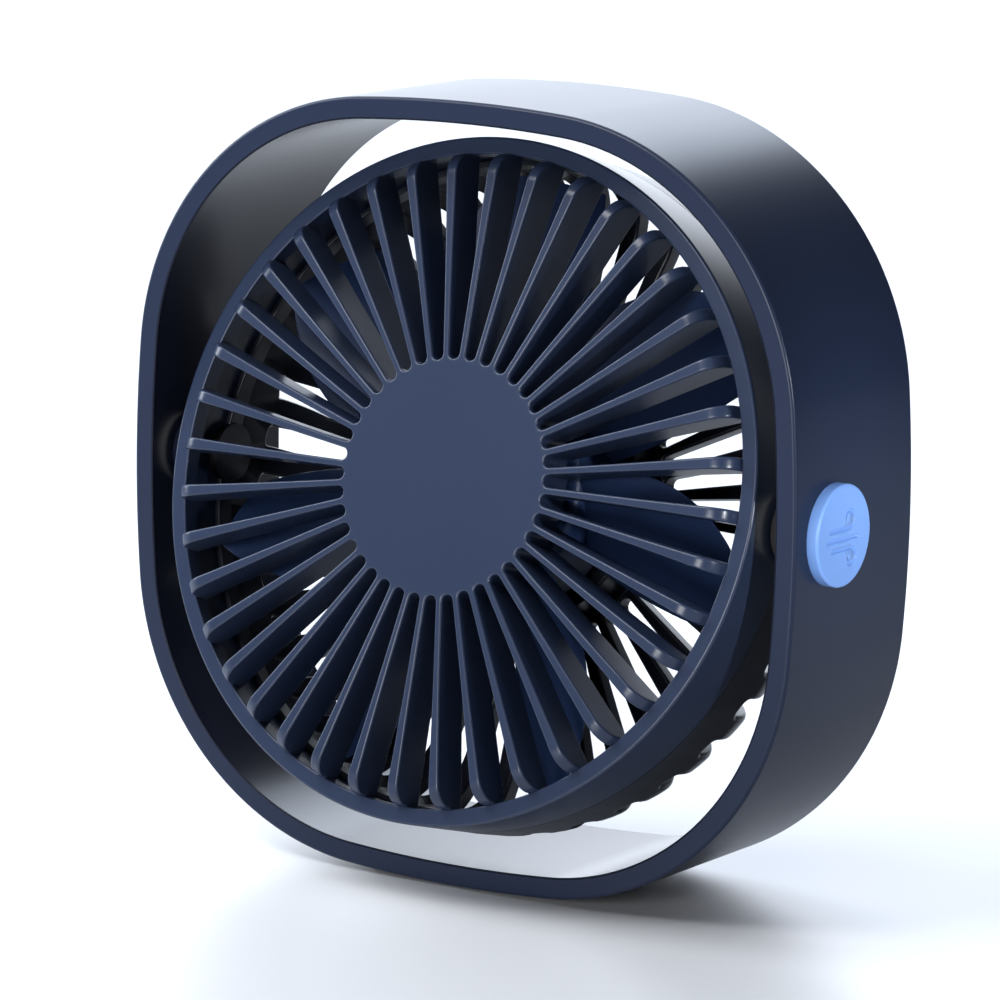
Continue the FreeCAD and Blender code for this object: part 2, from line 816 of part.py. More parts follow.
def make_motor_base():
    floor = -SZ.floor_front + SZ.fit_gap
    plate = post(SZ.motor_base_radius, floor, floor + SZ.motor_base_thickness)
    tube = post(SZ.bearing_tube_radius, floor, SZ.bearing_tube_top)
    bore = post(SZ.bearing_radius + PRESS, floor - PAST, SZ.bearing_tube_top + PAST)
    above = floor + SZ.motor_base_thickness + PAST
    holes = [post(SZ.motor_screw_radius + PRESS, floor - PAST, above, x, y)
             for x, y in motor_screw_places()]
    return finish_part("motor_base", cut(fuse(plate, tube), bore, *holes), "head")


def make_motor_bearings():
    """Two sintered sleeves, one at each end of the bearing tube."""
    sleeves = []
    for end in (SZ.bearing_tube_top - SZ.fit_gap, SZ.bearing_length - SZ.bearing_low):
        sleeve = post(SZ.bearing_radius, end - SZ.bearing_length, end)
        bore = post(SZ.bearing_bore, end - SZ.bearing_length - PAST, end + PAST)
        sleeves.append(cut(sleeve, bore))
    return finish_part("motor_bearings", group(*sleeves), "head")


def make_stator_core():
    """A ring with nine T-shaped teeth."""
    body = new_body("stator_core")
    ring = sketch_on(body, "XY_Plane", -SZ.core_bottom)
    draw_circle(ring, SZ.core_yoke_radius)
    pad(body, ring, SZ.core_height)
    tooth = sketch_on(body, "XY_Plane", -SZ.core_bottom)
    half = SZ.tooth_width * 0.5
    shoe_turn = math.radians(SIZES["shoe_half_angle"])
    shoe_x = SZ.core_radius * math.cos(shoe_turn)
    shoe_y = SZ.core_radius * math.sin(shoe_turn)
    neck_x = SZ.core_radius - SZ.shoe_depth
    tip_x = neck_x - SZ.shoe_slant
    draw_outline(tooth, [
        (SZ.core_yoke_radius - PAST, -half),
        (neck_x, -half),
        (tip_x, -shoe_y),
        (shoe_x, -shoe_y, SZ.core_radius),
        (shoe_x, shoe_y),
        (tip_x, shoe_y),
        (neck_x, half),
        (SZ.core_yoke_radius - PAST, half),
    ])
    polar(body, pad(body, tooth, SZ.core_height), SZ.tooth_count, tooth)
    hole = sketch_on(body, "XY_Plane", -SZ.core_bottom + SZ.core_height)
    draw_circle(hole, SZ.bearing_tube_radius + SZ.fit_gap)
    pocket(body, hole)
    return finish_part("stator_core", body, "head")


def make_stator_coils():
    """One winding round each tooth."""
    middle = -SZ.core_bottom + SZ.core_height * 0.5
    width, height = SZ.coil_width * 0.5, SZ.coil_height * 0.5
    tooth = SZ.tooth_width * 0.5 + SZ.fit_gap
    core = SZ.core_height * 0.5 + SZ.fit_gap
    start, end = SZ.coil_inner, SZ.coil_outer
    outer = block((start, -width, middle - height), (end, width, middle + height))
    inner = block((start - PAST, -tooth, middle - core), (end + PAST, tooth, middle + core))
    coil = cut(outer, inner)
    count = int(SIZES["tooth_count"])
    coils = [turned(coil, i * 360 / count) for i in range(count)]
    return finish_part("stator_coils", group(*coils), "head")


def make_motor_board():
    bottom = -SZ.motor_board_bottom
    disc = post(SZ.motor_board_radius, bottom, bottom + SZ.board_thickness)
    bore = post(SZ.bearing_tube_radius + SZ.fit_gap, -SZ.floor_front, 0)
    return finish_part("motor_board", cut(disc, bore), "head")


def make_motor_screws():
    floor_back = -SZ.floor_front - SZ.floor_thickness
    top = -SZ.floor_front + SZ.motor_base_thickness
    end = floor_back - SZ.motor_screw_head_height
    screws = []
    for x, y in motor_screw_places():
        thread = post(SZ.motor_screw_radius, end, top, x, y)
        head = post(SZ.motor_screw_head, end, floor_back - SZ.fit_gap, x, y)
        screws.append(fuse(thread, head))
    return finish_part("motor_screws", group(*screws), "head")


def make_rotor_yoke():
    """The steel cup that closes the magnet's flux."""
    cup = post(SZ.yoke_radius, -SZ.yoke_bottom, SZ.yoke_top)
    inside = SZ.yoke_radius - SZ.yoke_wall
    hollow = post(inside, -SZ.yoke_bottom - PAST, SZ.yoke_top - SZ.yoke_wall)
    hole = post(SZ.hub_boss_radius + SZ.fit_gap, 0, SZ.yoke_top + PAST)
    return finish_part("rotor_yoke", cut(cup, hollow, hole), "head")


def make_rotor_magnet():
    outer = SZ.yoke_radius - SZ.yoke_wall - SZ.fit_gap
    ring = post(outer, -SZ.magnet_bottom, SZ.magnet_height - SZ.magnet_bottom)
    bore = post(SZ.magnet_bore, -SZ.magnet_bottom - PAST, 0)
    return finish_part("rotor_magnet", cut(ring, bore), "head")


def circlip_ring(outer, inner, gap):
    """A flat ring at the circlip's place, grown by the gap above and below."""
    bottom = -SZ.circlip_top - SZ.circlip_thickness - gap
    top = gap - SZ.circlip_top
    return cut(post(outer, bottom, top), post(inner, bottom - PAST, top + PAST))


def make_motor_shaft():
    rod = post(SZ.shaft_radius, -SZ.shaft_bottom, SZ.shaft_top)
    floor = SZ.shaft_radius - SZ.circlip_groove
    groove = circlip_ring(SZ.shaft_radius + PAST, floor, as_size(PRESS))
    return finish_part("motor_shaft", cut(rod, groove), "head")


def make_shaft_circlip():
    """An E-clip: a flat ring with one open side, in the shaft's groove."""
    inner = SZ.shaft_radius - SZ.circlip_groove + PRESS
    ring = circlip_ring(SZ.circlip_radius, inner, as_size(0))
    half = SZ.circlip_mouth * 0.5
    below = -SZ.circlip_top - SZ.circlip_thickness - PAST
    mouth = block((0, -half, below), (SZ.circlip_radius + PAST, half, 0))
    return finish_part("shaft_circlip", cut(ring, mouth), "head")


# ---------------------------------------------------------------- impeller


def blade_section(body, station, front, back, thickness):
    """A slanted section across a blade, at a station along +Y. front and back are (x, z) points."""
    sketch = sketch_on(body, "XZ_Plane", -station)
    draw_outline(sketch, [
        front,
        back,
        (back[0], as_size(back[1]) - thickness),
        (front[0], as_size(front[1]) - thickness),
    ])
    return sketch


def make_impeller():
    """A hub cup over the motor with twisted blades, widest near the middle of their span."""
    body = new_body("impeller")
    root = blade_section(
        body,
        SZ.blade_root_station,
        (-SZ.blade_root_lead, SZ.blade_root_front),
        (SZ.blade_root_trail, -SZ.blade_root_back),
        SZ.blade_root_thickness,
    )
    middle = blade_section(
        body,
        SZ.blade_middle_station,
        (-SZ.blade_middle_lead, SZ.blade_middle_front),
        (SZ.blade_middle_trail, -SZ.blade_middle_back),
        SZ.blade_middle_thickness,
    )
    tip = blade_section(
        body,
        SZ.blade_tip_station,
        (-SZ.blade_tip_lead, SZ.blade_tip_front),
        (SZ.blade_tip_trail, -SZ.blade_tip_back),
        SZ.blade_tip_thickness,
    )
    loft = body.newObject("PartDesign::AdditiveLoft", "Blade")
    loft.Profile = root
    loft.Sections = [middle, tip]
    loft.Ruled = True
    axis = sketch_on(body, "XY_Plane", SZ.hub_front * 2)
    draw_circle(axis, SZ.blade_tip_radius)
    draw_circle(axis, SZ.blade_tip_radius * 1.5)
    polar(body, loft, SZ.blade_count, axis)
    pocket(body, axis)
    hub = sketch_on(body, "XZ_Plane")
    draw_outline(hub, [
        (0, -SZ.hub_back),
        (SZ.hub_radius, -SZ.hub_back),
        (SZ.hub_radius, SZ.hub_front - SZ.hub_edge, SZ.hub_edge),
        (SZ.hub_radius - SZ.hub_edge, SZ.hub_front),
        (0, SZ.hub_front),
    ])
    revolve(body, hub)
    hollow = sketch_on(body, "XY_Plane", SZ.yoke_top + SZ.fit_gap)
    draw_circle(hollow, SZ.yoke_radius + SZ.fit_gap)
    pocket(body, hollow)
    boss = sketch_on(body, "XY_Plane", SZ.yoke_top - SZ.yoke_wall)
    draw_circle(boss, SZ.hub_boss_radius)
    pad(body, boss, SZ.yoke_wall + SZ.fit_gap + ROOT)
    bore = sketch_on(body, "XY_Plane", SZ.shaft_top + SZ.fit_gap)
    draw_circle(bore, SZ.shaft_radius)
    pocket(body, bore)
    return finish_part("impeller", body, "head")


# ---------------------------------------------------------------- electronics in the rear hub


def rounded_slot(width, height, bottom, top):
    """A bar with round ends at the USB-C socket's place."""
    y = -SZ.usb_offset
    radius = height * 0.5
    half = (width - height) * 0.5
    ends = [post(radius, bottom, top, half * side, y) for side in (1, -1)]
    return fuse(*ends, block((-half, y - radius, bottom), (half, y + radius, top)))


def cover_plane():
    """The outside of the rear hub cover, flush with the rear grille's back."""
    return -SZ.rear_edge_start - SZ.rear_edge_radius


def make_hub_cover():
    outside = cover_plane()
    inside = outside + SZ.cover_thickness
    disc = post(SZ.cover_radius, outside, inside + SZ.cover_skirt_height)
    above = inside + SZ.cover_skirt_height + PAST
    hollow = post(SZ.cover_radius - SZ.cover_skirt_wall, inside, above)
    low, high = outside - PAST, inside + PAST
    button_hole = post(SZ.button_radius + SZ.button_gap, low, high)
    clearance = SZ.usb_clearance * 2
    mouth = rounded_slot(SZ.usb_width + clearance, SZ.usb_height + clearance, low, high)
    led_hole = post(SZ.led_pipe_radius + SZ.fit_gap, low, high, 0, SZ.led_offset)
    return finish_part("hub_cover", cut(disc, hollow, button_hole, mouth, led_hole), "head")


def board_back():
    return -SZ.control_board_bottom


def make_control_board():
    disc = post(SZ.control_board_radius, board_back(), board_back() + SZ.board_thickness)
    low, high = board_back() - PAST, board_back() + SZ.board_thickness + PAST
    holes = [post(SZ.board_screw_radius + SZ.fit_gap, low, high, x, y)
             for x, y in board_post_places()]
    return finish_part("control_board", cut(disc, *holes), "head")


def make_board_screws():
    end = board_back() - SZ.board_screw_head_height
    screws = []
    for x, y in board_post_places():
        thread = post(SZ.board_screw_radius, end, board_back() + SZ.board_screw_reach, x, y)
        head = post(SZ.board_screw_head, end, board_back() - SZ.fit_gap, x, y)
        screws.append(fuse(thread, head))
    return finish_part("board_screws", group(*screws), "head")


def make_board_parts():
    """The control chip, an inductor and two capacitors on the board's rear side."""
    top = board_back() - SZ.fit_gap
    chip = block((-14.5, -8.5, top - 1.4), (-9.5, -4.5, top))
    inductor = block((9.0, -9.5, top - 2.4), (13.5, -5.0, top))
    capacitors = [post(1.6, top - 3.0, top, x, 13.0) for x in (-8.5, 8.5)]
    return finish_part("board_parts", group(chip, inductor, *capacitors), "head")


def make_usb_socket():
    """An upright USB-C socket whose mouth lies in the cover's slot."""
    top = board_back() - SZ.fit_gap
    shell = rounded_slot(SZ.usb_width, SZ.usb_height, -SZ.usb_end, top)
    wall = SZ.usb_wall * 2
    floor = top - SZ.usb_floor
    hollow = rounded_slot(SZ.usb_width - wall, SZ.usb_height - wall, -SZ.usb_end - PAST, floor)
    half_width, half_height = SZ.usb_tongue_width * 0.5, SZ.usb_tongue_height * 0.5
    tongue = block(
        (-half_width, -SZ.usb_offset - half_height, SZ.usb_tongue_set_back - SZ.usb_end),
        (half_width, half_height - SZ.usb_offset, floor + ROOT),
    )
    return finish_part("usb_socket", fuse(cut(shell, hollow), tongue), "head")


def make_tact_switch():
    top = board_back() - SZ.fit_gap
    half = SZ.switch_side * 0.5
    case = block((-half, -half, -SZ.switch_end), (half, half, top))
    bottom = SZ.button_travel + SZ.plunger_gap - SZ.plunger_front
    well = post(SZ.plunger_radius + SZ.plunger_gap, -SZ.switch_end - PAST, bottom)
    return finish_part("tact_switch", cut(case, well), "head")


def make_switch_plunger():
    stem = post(SZ.plunger_radius, -SZ.plunger_back, -SZ.plunger_front)
    return finish_part("switch_plunger", group(stem), "head")


def make_power_button():
    inside = cover_plane() + SZ.cover_thickness
    cap = post(SZ.button_radius, -SZ.button_end, -SZ.plunger_back - SZ.fit_gap)
    flange = post(SZ.button_flange, inside + SZ.fit_gap * 3, -SZ.plunger_back - SZ.fit_gap)
    solid = fuse(cap, flange)
    DOC.recompute()
    rounded = DOC.addObject("Part::Fillet", "Rounded")
    rounded.Base = solid
    end = SIZES["fit_gap"] - SIZES["button_end"]
    edge = next(i for i, e in enumerate(solid.Shape.Edges, start=1) if e.BoundBox.ZMax < end)
    rounded.Edges = [(edge, SIZES["cap_edge"], SIZES["cap_edge"])]
    return finish_part("power_button", rounded, "head")


def make_status_led():
    top = board_back() - SZ.fit_gap
    half_length, half_width = SZ.led_length * 0.5, SZ.led_width * 0.5
    chip = block(
        (-half_length, SZ.led_offset - half_width, top - SZ.led_height),
        (half_length, SZ.led_offset + half_width, top),
    )
    return finish_part("status_led", group(chip), "head")


def make_light_pipe():
    """A clear rod from the LED to the cover's outside."""
    start = cover_plane() + SZ.fit_gap
    end = board_back() - SZ.led_height - SZ.fit_gap * 2
    rod = post(SZ.led_pipe_radius, start, end, 0, SZ.led_offset)
    return finish_part("light_pipe", group(rod), "head")


def make_motor_leads():
    """Three leads from the motor board, down through the floor to the control board."""
    radius, bend = SIZES["lead_radius"], SIZES["lead_bend"]
    start_x = -SIZES["motor_board_radius"] - 0.05
    drop_x = -SIZES["lead_drop"]
    top = SIZES["board_thickness"] / 2 - SIZES["motor_board_bottom"]
    bottom = SIZES["board_thickness"] - SIZES["control_board_bottom"] + 0.05
    leads = []
    for row in (-1, 0, 1):
        y = row * SIZES["lead_pitch"]
        corner = Vector(drop_x + bend, y, top)
        middle = Vector(drop_x + bend * (1 - math.sqrt(0.5)), y, top - bend * (1 - math.sqrt(0.5)))
        turn_end = Vector(drop_x, y, top - bend)
        edges = [
            Part.LineSegment(Vector(start_x, y, top), corner).toShape(),
            Part.Arc(corner, middle, turn_end).toShape(),
            Part.LineSegment(turn_end, Vector(drop_x, y, bottom)).toShape(),
        ]
        ring = Part.Circle(Vector(start_x, y, top), Vector(1, 0, 0), radius).toShape()
        pipe = Part.Wire(edges).makePipeShell([Part.Wire(ring)], True, True)
        leads.append(pipe)
    feature = DOC.addObject("Part::Feature", "Leads")
    feature.Shape = Part.makeCompound(leads)
    return finish_part("motor_leads", feature, "head")


# ---------------------------------------------------------------- the whole fan


def make_all():
    make_sheet()
    make_stand_shell()
    make_stand_liner()
    make_foot_pad()
    make_pivot_bushes()
    make_pivot_cap("right_pivot_cap", 1)
    make_pivot_cap("left_pivot_cap", -1)
    make_pivot_pins()
    make_friction_washers()
    make_retaining_washers()
    make_pivot_screws()
    make_front_grille()
    make_rear_grille()
    make_motor_base()
    make_motor_bearings()
    make_stator_core()
    make_stator_coils()
    make_motor_board()
    make_motor_screws()
    make_motor_leads()
    make_rotor_yoke()
    make_rotor_magnet()
    make_motor_shaft()
    make_shaft_circlip()
    make_impeller()
    make_hub_cover()
    make_control_board()
    make_board_screws()
    make_board_parts()
    make_usb_socket()
    make_tact_switch()
    make_switch_plunger()
    make_power_button()
    make_status_led()
    make_light_pipe()


def check_and_export():
    DOC.recompute()
    for thing in DOC.Objects:
        if {"Invalid", "Error"} & set(thing.State):
            raise RuntimeError(f"{thing.Name} ({thing.Label}) failed: {thing.State}")
    for label, thing in MADE:
        if thing.Shape.isNull() or not thing.Shape.isValid() or not thing.Shape.Solids:
            raise RuntimeError(f"{label} has no valid solid")
    os.makedirs("parts", exist_ok=True)
    for label, thing in MADE:
        thing.Shape.exportStep(f"parts/{label}.step")
        print(f"{label}: {len(thing.Shape.Solids)} solid(s), {thing.Shape.Volume:.0f} mm3")


make_all()
check_and_export()
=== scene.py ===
import json
import math

import bmesh
import bpy
from mathutils import Matrix, Vector


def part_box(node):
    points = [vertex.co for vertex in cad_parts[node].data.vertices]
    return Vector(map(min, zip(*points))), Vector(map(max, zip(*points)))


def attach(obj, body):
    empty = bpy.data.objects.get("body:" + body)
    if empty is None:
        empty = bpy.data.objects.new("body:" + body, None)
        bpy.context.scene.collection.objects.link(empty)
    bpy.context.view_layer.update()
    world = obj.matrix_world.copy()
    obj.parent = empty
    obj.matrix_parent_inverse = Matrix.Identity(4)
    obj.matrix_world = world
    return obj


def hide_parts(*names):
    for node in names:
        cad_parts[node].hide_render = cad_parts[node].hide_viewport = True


# Desk fan: the looks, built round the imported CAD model. Shapes are drawn in millimetres in one of
# two local frames: RING, about the middle of the ring stand (X right, Y back, Z up), and HEAD,
# about the tilt pivot (X right, Y up along the tilted head, Z forward along the fan axis).

MM = 0.001
FULL = 2 * math.pi
SHARP = math.radians(38)

# ring stand
SIDE_RADIUS = 301.0
CORNER_RADIUS = 55.5
THICKNESS = 4.27
SHELL_WALL = 1.9
LINER_WALL = 1.5
TONGUE = 0.25
LIP = 1.6
GAP = 0.05
BOSS_RADIUS = 7.0
BOSS_INNER = 68.7

# pivot cap, along X
CAP_RADIUS = 9.6
CAP_SEAT = 74.8
CAP_EDGE = 0.55

# breeze lines cut in the cap: height, start, end and curl
BREEZE_WIDTH = 0.9
BREEZE_LINES = ((1.3, -5.4, 2.0, 1.6), (-0.6, -6.2, 5.4, 0.0), (-2.5, -4.6, 2.6, -1.5))

# grille slots, the same number in front and behind
SLOTS = 40
PITCH = FULL / SLOTS

# front grille
GRILLE_FRONT = 17.8
RIM_FRONT = 13.3
RIM_OPENING = 62.1
SHOULDER = 4.5
RIB_BACK = 9.5
HUB_FACE = 18.5
SKIRT_INNER = 21.2
FRONT_SLOT_INNER = 22.4
FRONT_SLOT_START = 1.15
TOP_EDGE = 0.42
BACK_EDGE = 0.22
SEAM = 0.05

# rear grille
REAR_BACK = -24.7
REAR_EDGE = 14.0
REAR_WALL = 2.4
REAR_FIN = 4.2
REAR_ROUND = 1.15
CUP_RADIUS = 24.2
CUP_INNER = 22.6
FLOOR_FRONT = -13.0
FLOOR_BACK = -14.6
REAR_SLOT_INNER = 26.0
REAR_SLOT_END = -10.2
REAR_SLOT_CORNER = 1.3
REAR_SLOT_START = 1.2
REAR_SLOT_HALF = 1.2
REAR_SLOT_FLARE = 0.042
REAR_SLOT_DRAW = 0.05
REAR_SLOT_TURN = 8.5

# impeller
BLADES = 7
BLADE_TIP = 59.6
BLADE_STATIONS = (22.2, 36.0, 59.6)
BLADE_LEAD = (27.0, 22.5, 5.0)
BLADE_TRAIL = (-17.5, -14.5, -8.5)
HUB_RADIUS = 22.2
HUB_FRONT = 5.1
HUB_BACK = -10.1

# grain of moulded plastic: features per metre and depth
GRAIN_SCALE = 3200
GRAIN_DEPTH = 0.000002

# studio
FLOOR_REACH = 4.0
WALL_GLOW = 2.9
CEILING_GLOW = 0.8


def load_frames(frame):
    """The ring frame and the head frame as matrices from local millimetres to the row frame."""
    low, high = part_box("stand_shell")
    ring = Matrix.Translation((low + high) / 2) @ Matrix.Scale(MM, 4)
    joints = {joint["name"]: joint for joint in frame["joints"]}
    forward = Vector(joints["fan_spin"]["axis"]).normalized()
    right = Vector(joints["head_tilt"]["axis"]).normalized()
    up = forward.cross(right)
    turn = Matrix((right, up, forward)).transposed().to_4x4()
    head = Matrix.Translation(joints["head_tilt"]["pos_m"]) @ turn @ Matrix.Scale(MM, 4)
    return ring, head


# ---------------------------------------------------------------- mesh building


class Shape:
    """Points and faces of one piece, in local millimetres."""

    def __init__(self):
        self.points = []
        self.faces = []

    def lattice(self, columns, close_columns=False, close_rows=False):
        """Joins columns of points, all of one length, into a sheet of quads."""
        start = len(self.points)
        rows = len(columns[0])
        for column in columns:
            self.points.extend(column)
        across = len(columns) if close_columns else len(columns) - 1
        along = rows if close_rows else rows - 1
        for i in range(across):
            here = start + i * rows
            there = start + (i + 1) % len(columns) * rows
            for j in range(along):
                k = (j + 1) % rows
                self.faces.append((here + j, there + j, there + k, here + k))

    def lathe(self, profile, steps=240, closed=True):
        """Turns a profile of (radius, height) about local Z."""
        columns = []
        for i in range(steps):
            turn = FULL * i / steps
            columns.append([(r * math.cos(turn), r * math.sin(turn), z) for r, z in profile])
        self.lattice(columns, close_columns=True, close_rows=closed)

    def piece(self, name, matrix):
        """Makes the object: doubles joined, normals out, edges sharper than SHARP kept sharp."""
        mesh = bpy.data.meshes.new(name)
        mesh.from_pydata(self.points, [], self.faces)
        work = bmesh.new()
        work.from_mesh(mesh)
        bmesh.ops.remove_doubles(work, verts=work.verts, dist=0.002)
        bmesh.ops.dissolve_degenerate(work, edges=work.edges, dist=0.0005)
        bmesh.ops.recalc_face_normals(work, faces=work.faces)
        work.to_mesh(mesh)
        work.free()
        mesh.transform(matrix)
        mesh.polygons.foreach_set("use_smooth", [True] * len(mesh.polygons))
        mesh.set_sharp_from_angle(angle=SHARP)
        made = bpy.data.objects.new(name, mesh)
        bpy.context.scene.collection.objects.link(made)
        made.modifiers.new("weighted_normals", "WEIGHTED_NORMAL").keep_sharp = True
        return made


def rounded(corners, steps=5):
    """A closed outline from (x, y, radius) corners, each turned into an arc."""
    outline = []
    for i, (x, y, radius) in enumerate(corners):
        corner = Vector((x, y))
        if radius == 0:
            outline.append((x, y))
            continue
        to_last = (Vector(corners[i - 1][:2]) - corner).normalized()
        to_next = (Vector(corners[(i + 1) % len(corners)][:2]) - corner).normalized()
        half = to_last.angle(to_next) / 2
        middle = corner + (to_last + to_next).normalized() * (radius / math.sin(half))
        spoke = corner + to_last * (radius / math.tan(half)) - middle
        end = corner + to_next * (radius / math.tan(half)) - middle
        sweep = math.atan2(spoke.x * end.y - spoke.y * end.x, spoke.dot(end))
        for k in range(steps + 1):
            turned = Matrix.Rotation(sweep * k / steps, 2) @ spoke
            outline.append(tuple(middle + turned))
    return outline


def spread(start, end, count):
    """count + 1 numbers evenly from start to end."""
    return [start + (end - start) * i / count for i in range(count + 1)]


def squircle(inset, side_steps=16, corner_steps=48):
    """The ring's outline in XZ, inset by the same distance all round."""
    reach = SIDE_RADIUS - RING_HALF
    gap = SIDE_RADIUS - CORNER_RADIUS
    offset = (math.sqrt(2 * gap**2 - reach**2) - reach) / 2
    half = math.atan2(offset, offset + reach)
    outline = []
    for quarter in range(4):
        heading = quarter * math.pi / 2
        ahead = Vector((math.cos(heading), math.sin(heading)))
        left = Vector((-ahead.y, ahead.x))
        arcs = (
            (ahead * -reach, SIDE_RADIUS - inset, -half, half, side_steps),
            ((ahead + left) * offset, CORNER_RADIUS - inset, half, math.pi / 2 - half, corner_steps),
        )
        for centre, radius, first, last, steps in arcs:
            for turn in spread(heading + first, heading + last, steps)[:-1]:
                outline.append((centre.x + radius * math.cos(turn), centre.y + radius * math.sin(turn)))
    return outline


def sweep_ring(shape, profile):
    """Sweeps a closed profile of (inset, depth) round the ring."""
    columns = []
    for inset, depth in profile:
        columns.append([(x, depth, z) for x, z in squircle(inset)])
    shape.lattice(columns, close_columns=True, close_rows=True)


# ---------------------------------------------------------------- materials


class Nodes:
    """Short names for making shader nodes."""

    def __init__(self, name):
        self.material = bpy.data.materials.new(name)
        self.material.use_nodes = True
        self.tree = self.material.node_tree
        self.shader = self.tree.nodes["Principled BSDF"]

    def add(self, kind, inputs=(), **settings):
        node = self.tree.nodes.new(kind)
        for key, value in settings.items():
            setattr(node, key, value)
        for key, value in dict(inputs).items():
            if isinstance(value, bpy.types.NodeSocket):
                self.tree.links.new(value, node.inputs[key])
            else:
                node.inputs[key].default_value = value
        return node

    def noise(self, scale, detail=3.0, roughness=0.55):
        place = self.add("ShaderNodeTexCoord").outputs["Object"]
        settings = {"Vector": place, "Scale": scale, "Detail": detail, "Roughness": roughness}
        return self.add("ShaderNodeTexNoise", settings).outputs["Fac"]

    def ramp(self, value, low, high):
        """Spreads a value about 0.5 over low..high."""
        settings = {"Value": value, "From Min": 0.15, "From Max": 0.85, "To Min": low, "To Max": high}
        return self.add("ShaderNodeMapRange", settings).outputs["Result"]

    def shade(self, value, dark, light):
        """A colour between two, by a value about 0.5."""
        mix = self.add("ShaderNodeMix", data_type="RGBA")
        self.tree.links.new(self.ramp(value, 0.0, 1.0), mix.inputs["Factor"])
        mix.inputs[6].default_value = (*dark, 1)
        mix.inputs[7].default_value = (*light, 1)
        return mix.outputs[2]

    def bump(self, height, distance):
        settings = {"Height": height, "Distance": distance, "Strength": 1.0}
        return self.add("ShaderNodeBump", settings).outputs["Normal"]

    def set(self, **inputs):
        for key, value in inputs.items():
            socket = self.shader.inputs[key.replace("_", " ")]
            if isinstance(value, bpy.types.NodeSocket):
                self.tree.links.new(value, socket)
            else:
                socket.default_value = value


def moulded(name, colour, roughness, gloss=0.28, tone=0.04):
    """Moulded plastic: a fine spark-eroded grain, faint flow shading and uneven gloss."""
    nodes = Nodes(name)
    cloud = nodes.noise(28, 4)
    dark = [channel * (1 - tone) for channel in colour]
    light = [channel * (1 + tone) for channel in colour]
    nodes.set(Base_Color=nodes.shade(cloud, dark, light))
    nodes.set(Roughness=nodes.ramp(nodes.noise(36, 2), roughness - 0.01, roughness + 0.01))
    nodes.set(Normal=nodes.bump(nodes.noise(GRAIN_SCALE, 2), GRAIN_DEPTH))
    nodes.set(Specular_IOR_Level=gloss)
    return nodes.material


def turned_metal(name, colour, roughness):
    """Plated or bare metal with fine tool marks."""
    nodes = Nodes(name)
    marks = nodes.noise(2600, 6, 0.7)
    dark = [channel * 0.85 for channel in colour]
    nodes.set(Base_Color=nodes.shade(nodes.noise(160), dark, colour))
    nodes.set(Roughness=nodes.ramp(marks, roughness - 0.06, roughness + 0.08))
    nodes.set(Normal=nodes.bump(marks, 0.00002))
    nodes.set(Metallic=1.0)
    return nodes.material


def rubber(name, colour):
    nodes = Nodes(name)
    grain = nodes.noise(3400, 4, 0.6)
    light = [channel * 1.5 for channel in colour]
    nodes.set(Base_Color=nodes.shade(nodes.noise(90), colour, light))
    nodes.set(Roughness=nodes.ramp(grain, 0.72, 0.9), Normal=nodes.bump(grain, 0.00006))
    return nodes.material


def winding(name, colour):
    """Enamelled wire: fine turns across each coil."""
    nodes = Nodes(name)
    place = nodes.add("ShaderNodeTexCoord").outputs["Object"]
    turns = nodes.add("ShaderNodeTexWave", {"Vector": place, "Scale": 520.0, "Distortion": 0.4})
    nodes.set(Base_Color=nodes.shade(turns.outputs["Fac"], [c * 0.45 for c in colour], colour))
    nodes.set(Normal=nodes.bump(turns.outputs["Fac"], 0.0001), Metallic=0.85, Roughness=0.32)
    return nodes.material


def board(name, colour):
    """Solder mask over faint copper traces."""
    nodes = Nodes(name)
    place = nodes.add("ShaderNodeTexCoord").outputs["Object"]
    settings = {"Vector": place, "Scale": 900.0}
    traces = nodes.add("ShaderNodeTexVoronoi", settings, feature="DISTANCE_TO_EDGE").outputs["Distance"]
    lines = nodes.add(
        "ShaderNodeMapRange",
        {"Value": traces, "From Min": 0.02, "From Max": 0.06, "To Min": 0.3, "To Max": 0.7},
    ).outputs["Result"]
    nodes.set(Base_Color=nodes.shade(lines, [c * 1.8 for c in colour], colour))
    nodes.set(Normal=nodes.bump(lines, -0.00003), Roughness=0.3, Coat_Weight=0.5, Coat_Roughness=0.12)
    return nodes.material


def clear(name):
    """Clear acrylic with a faint haze."""
    nodes = Nodes(name)
    nodes.set(Base_Color=(0.82, 0.9, 1.0, 1), Transmission_Weight=0.85, IOR=1.49)
    nodes.set(Roughness=nodes.ramp(nodes.noise(900), 0.08, 0.2))
    return nodes.material


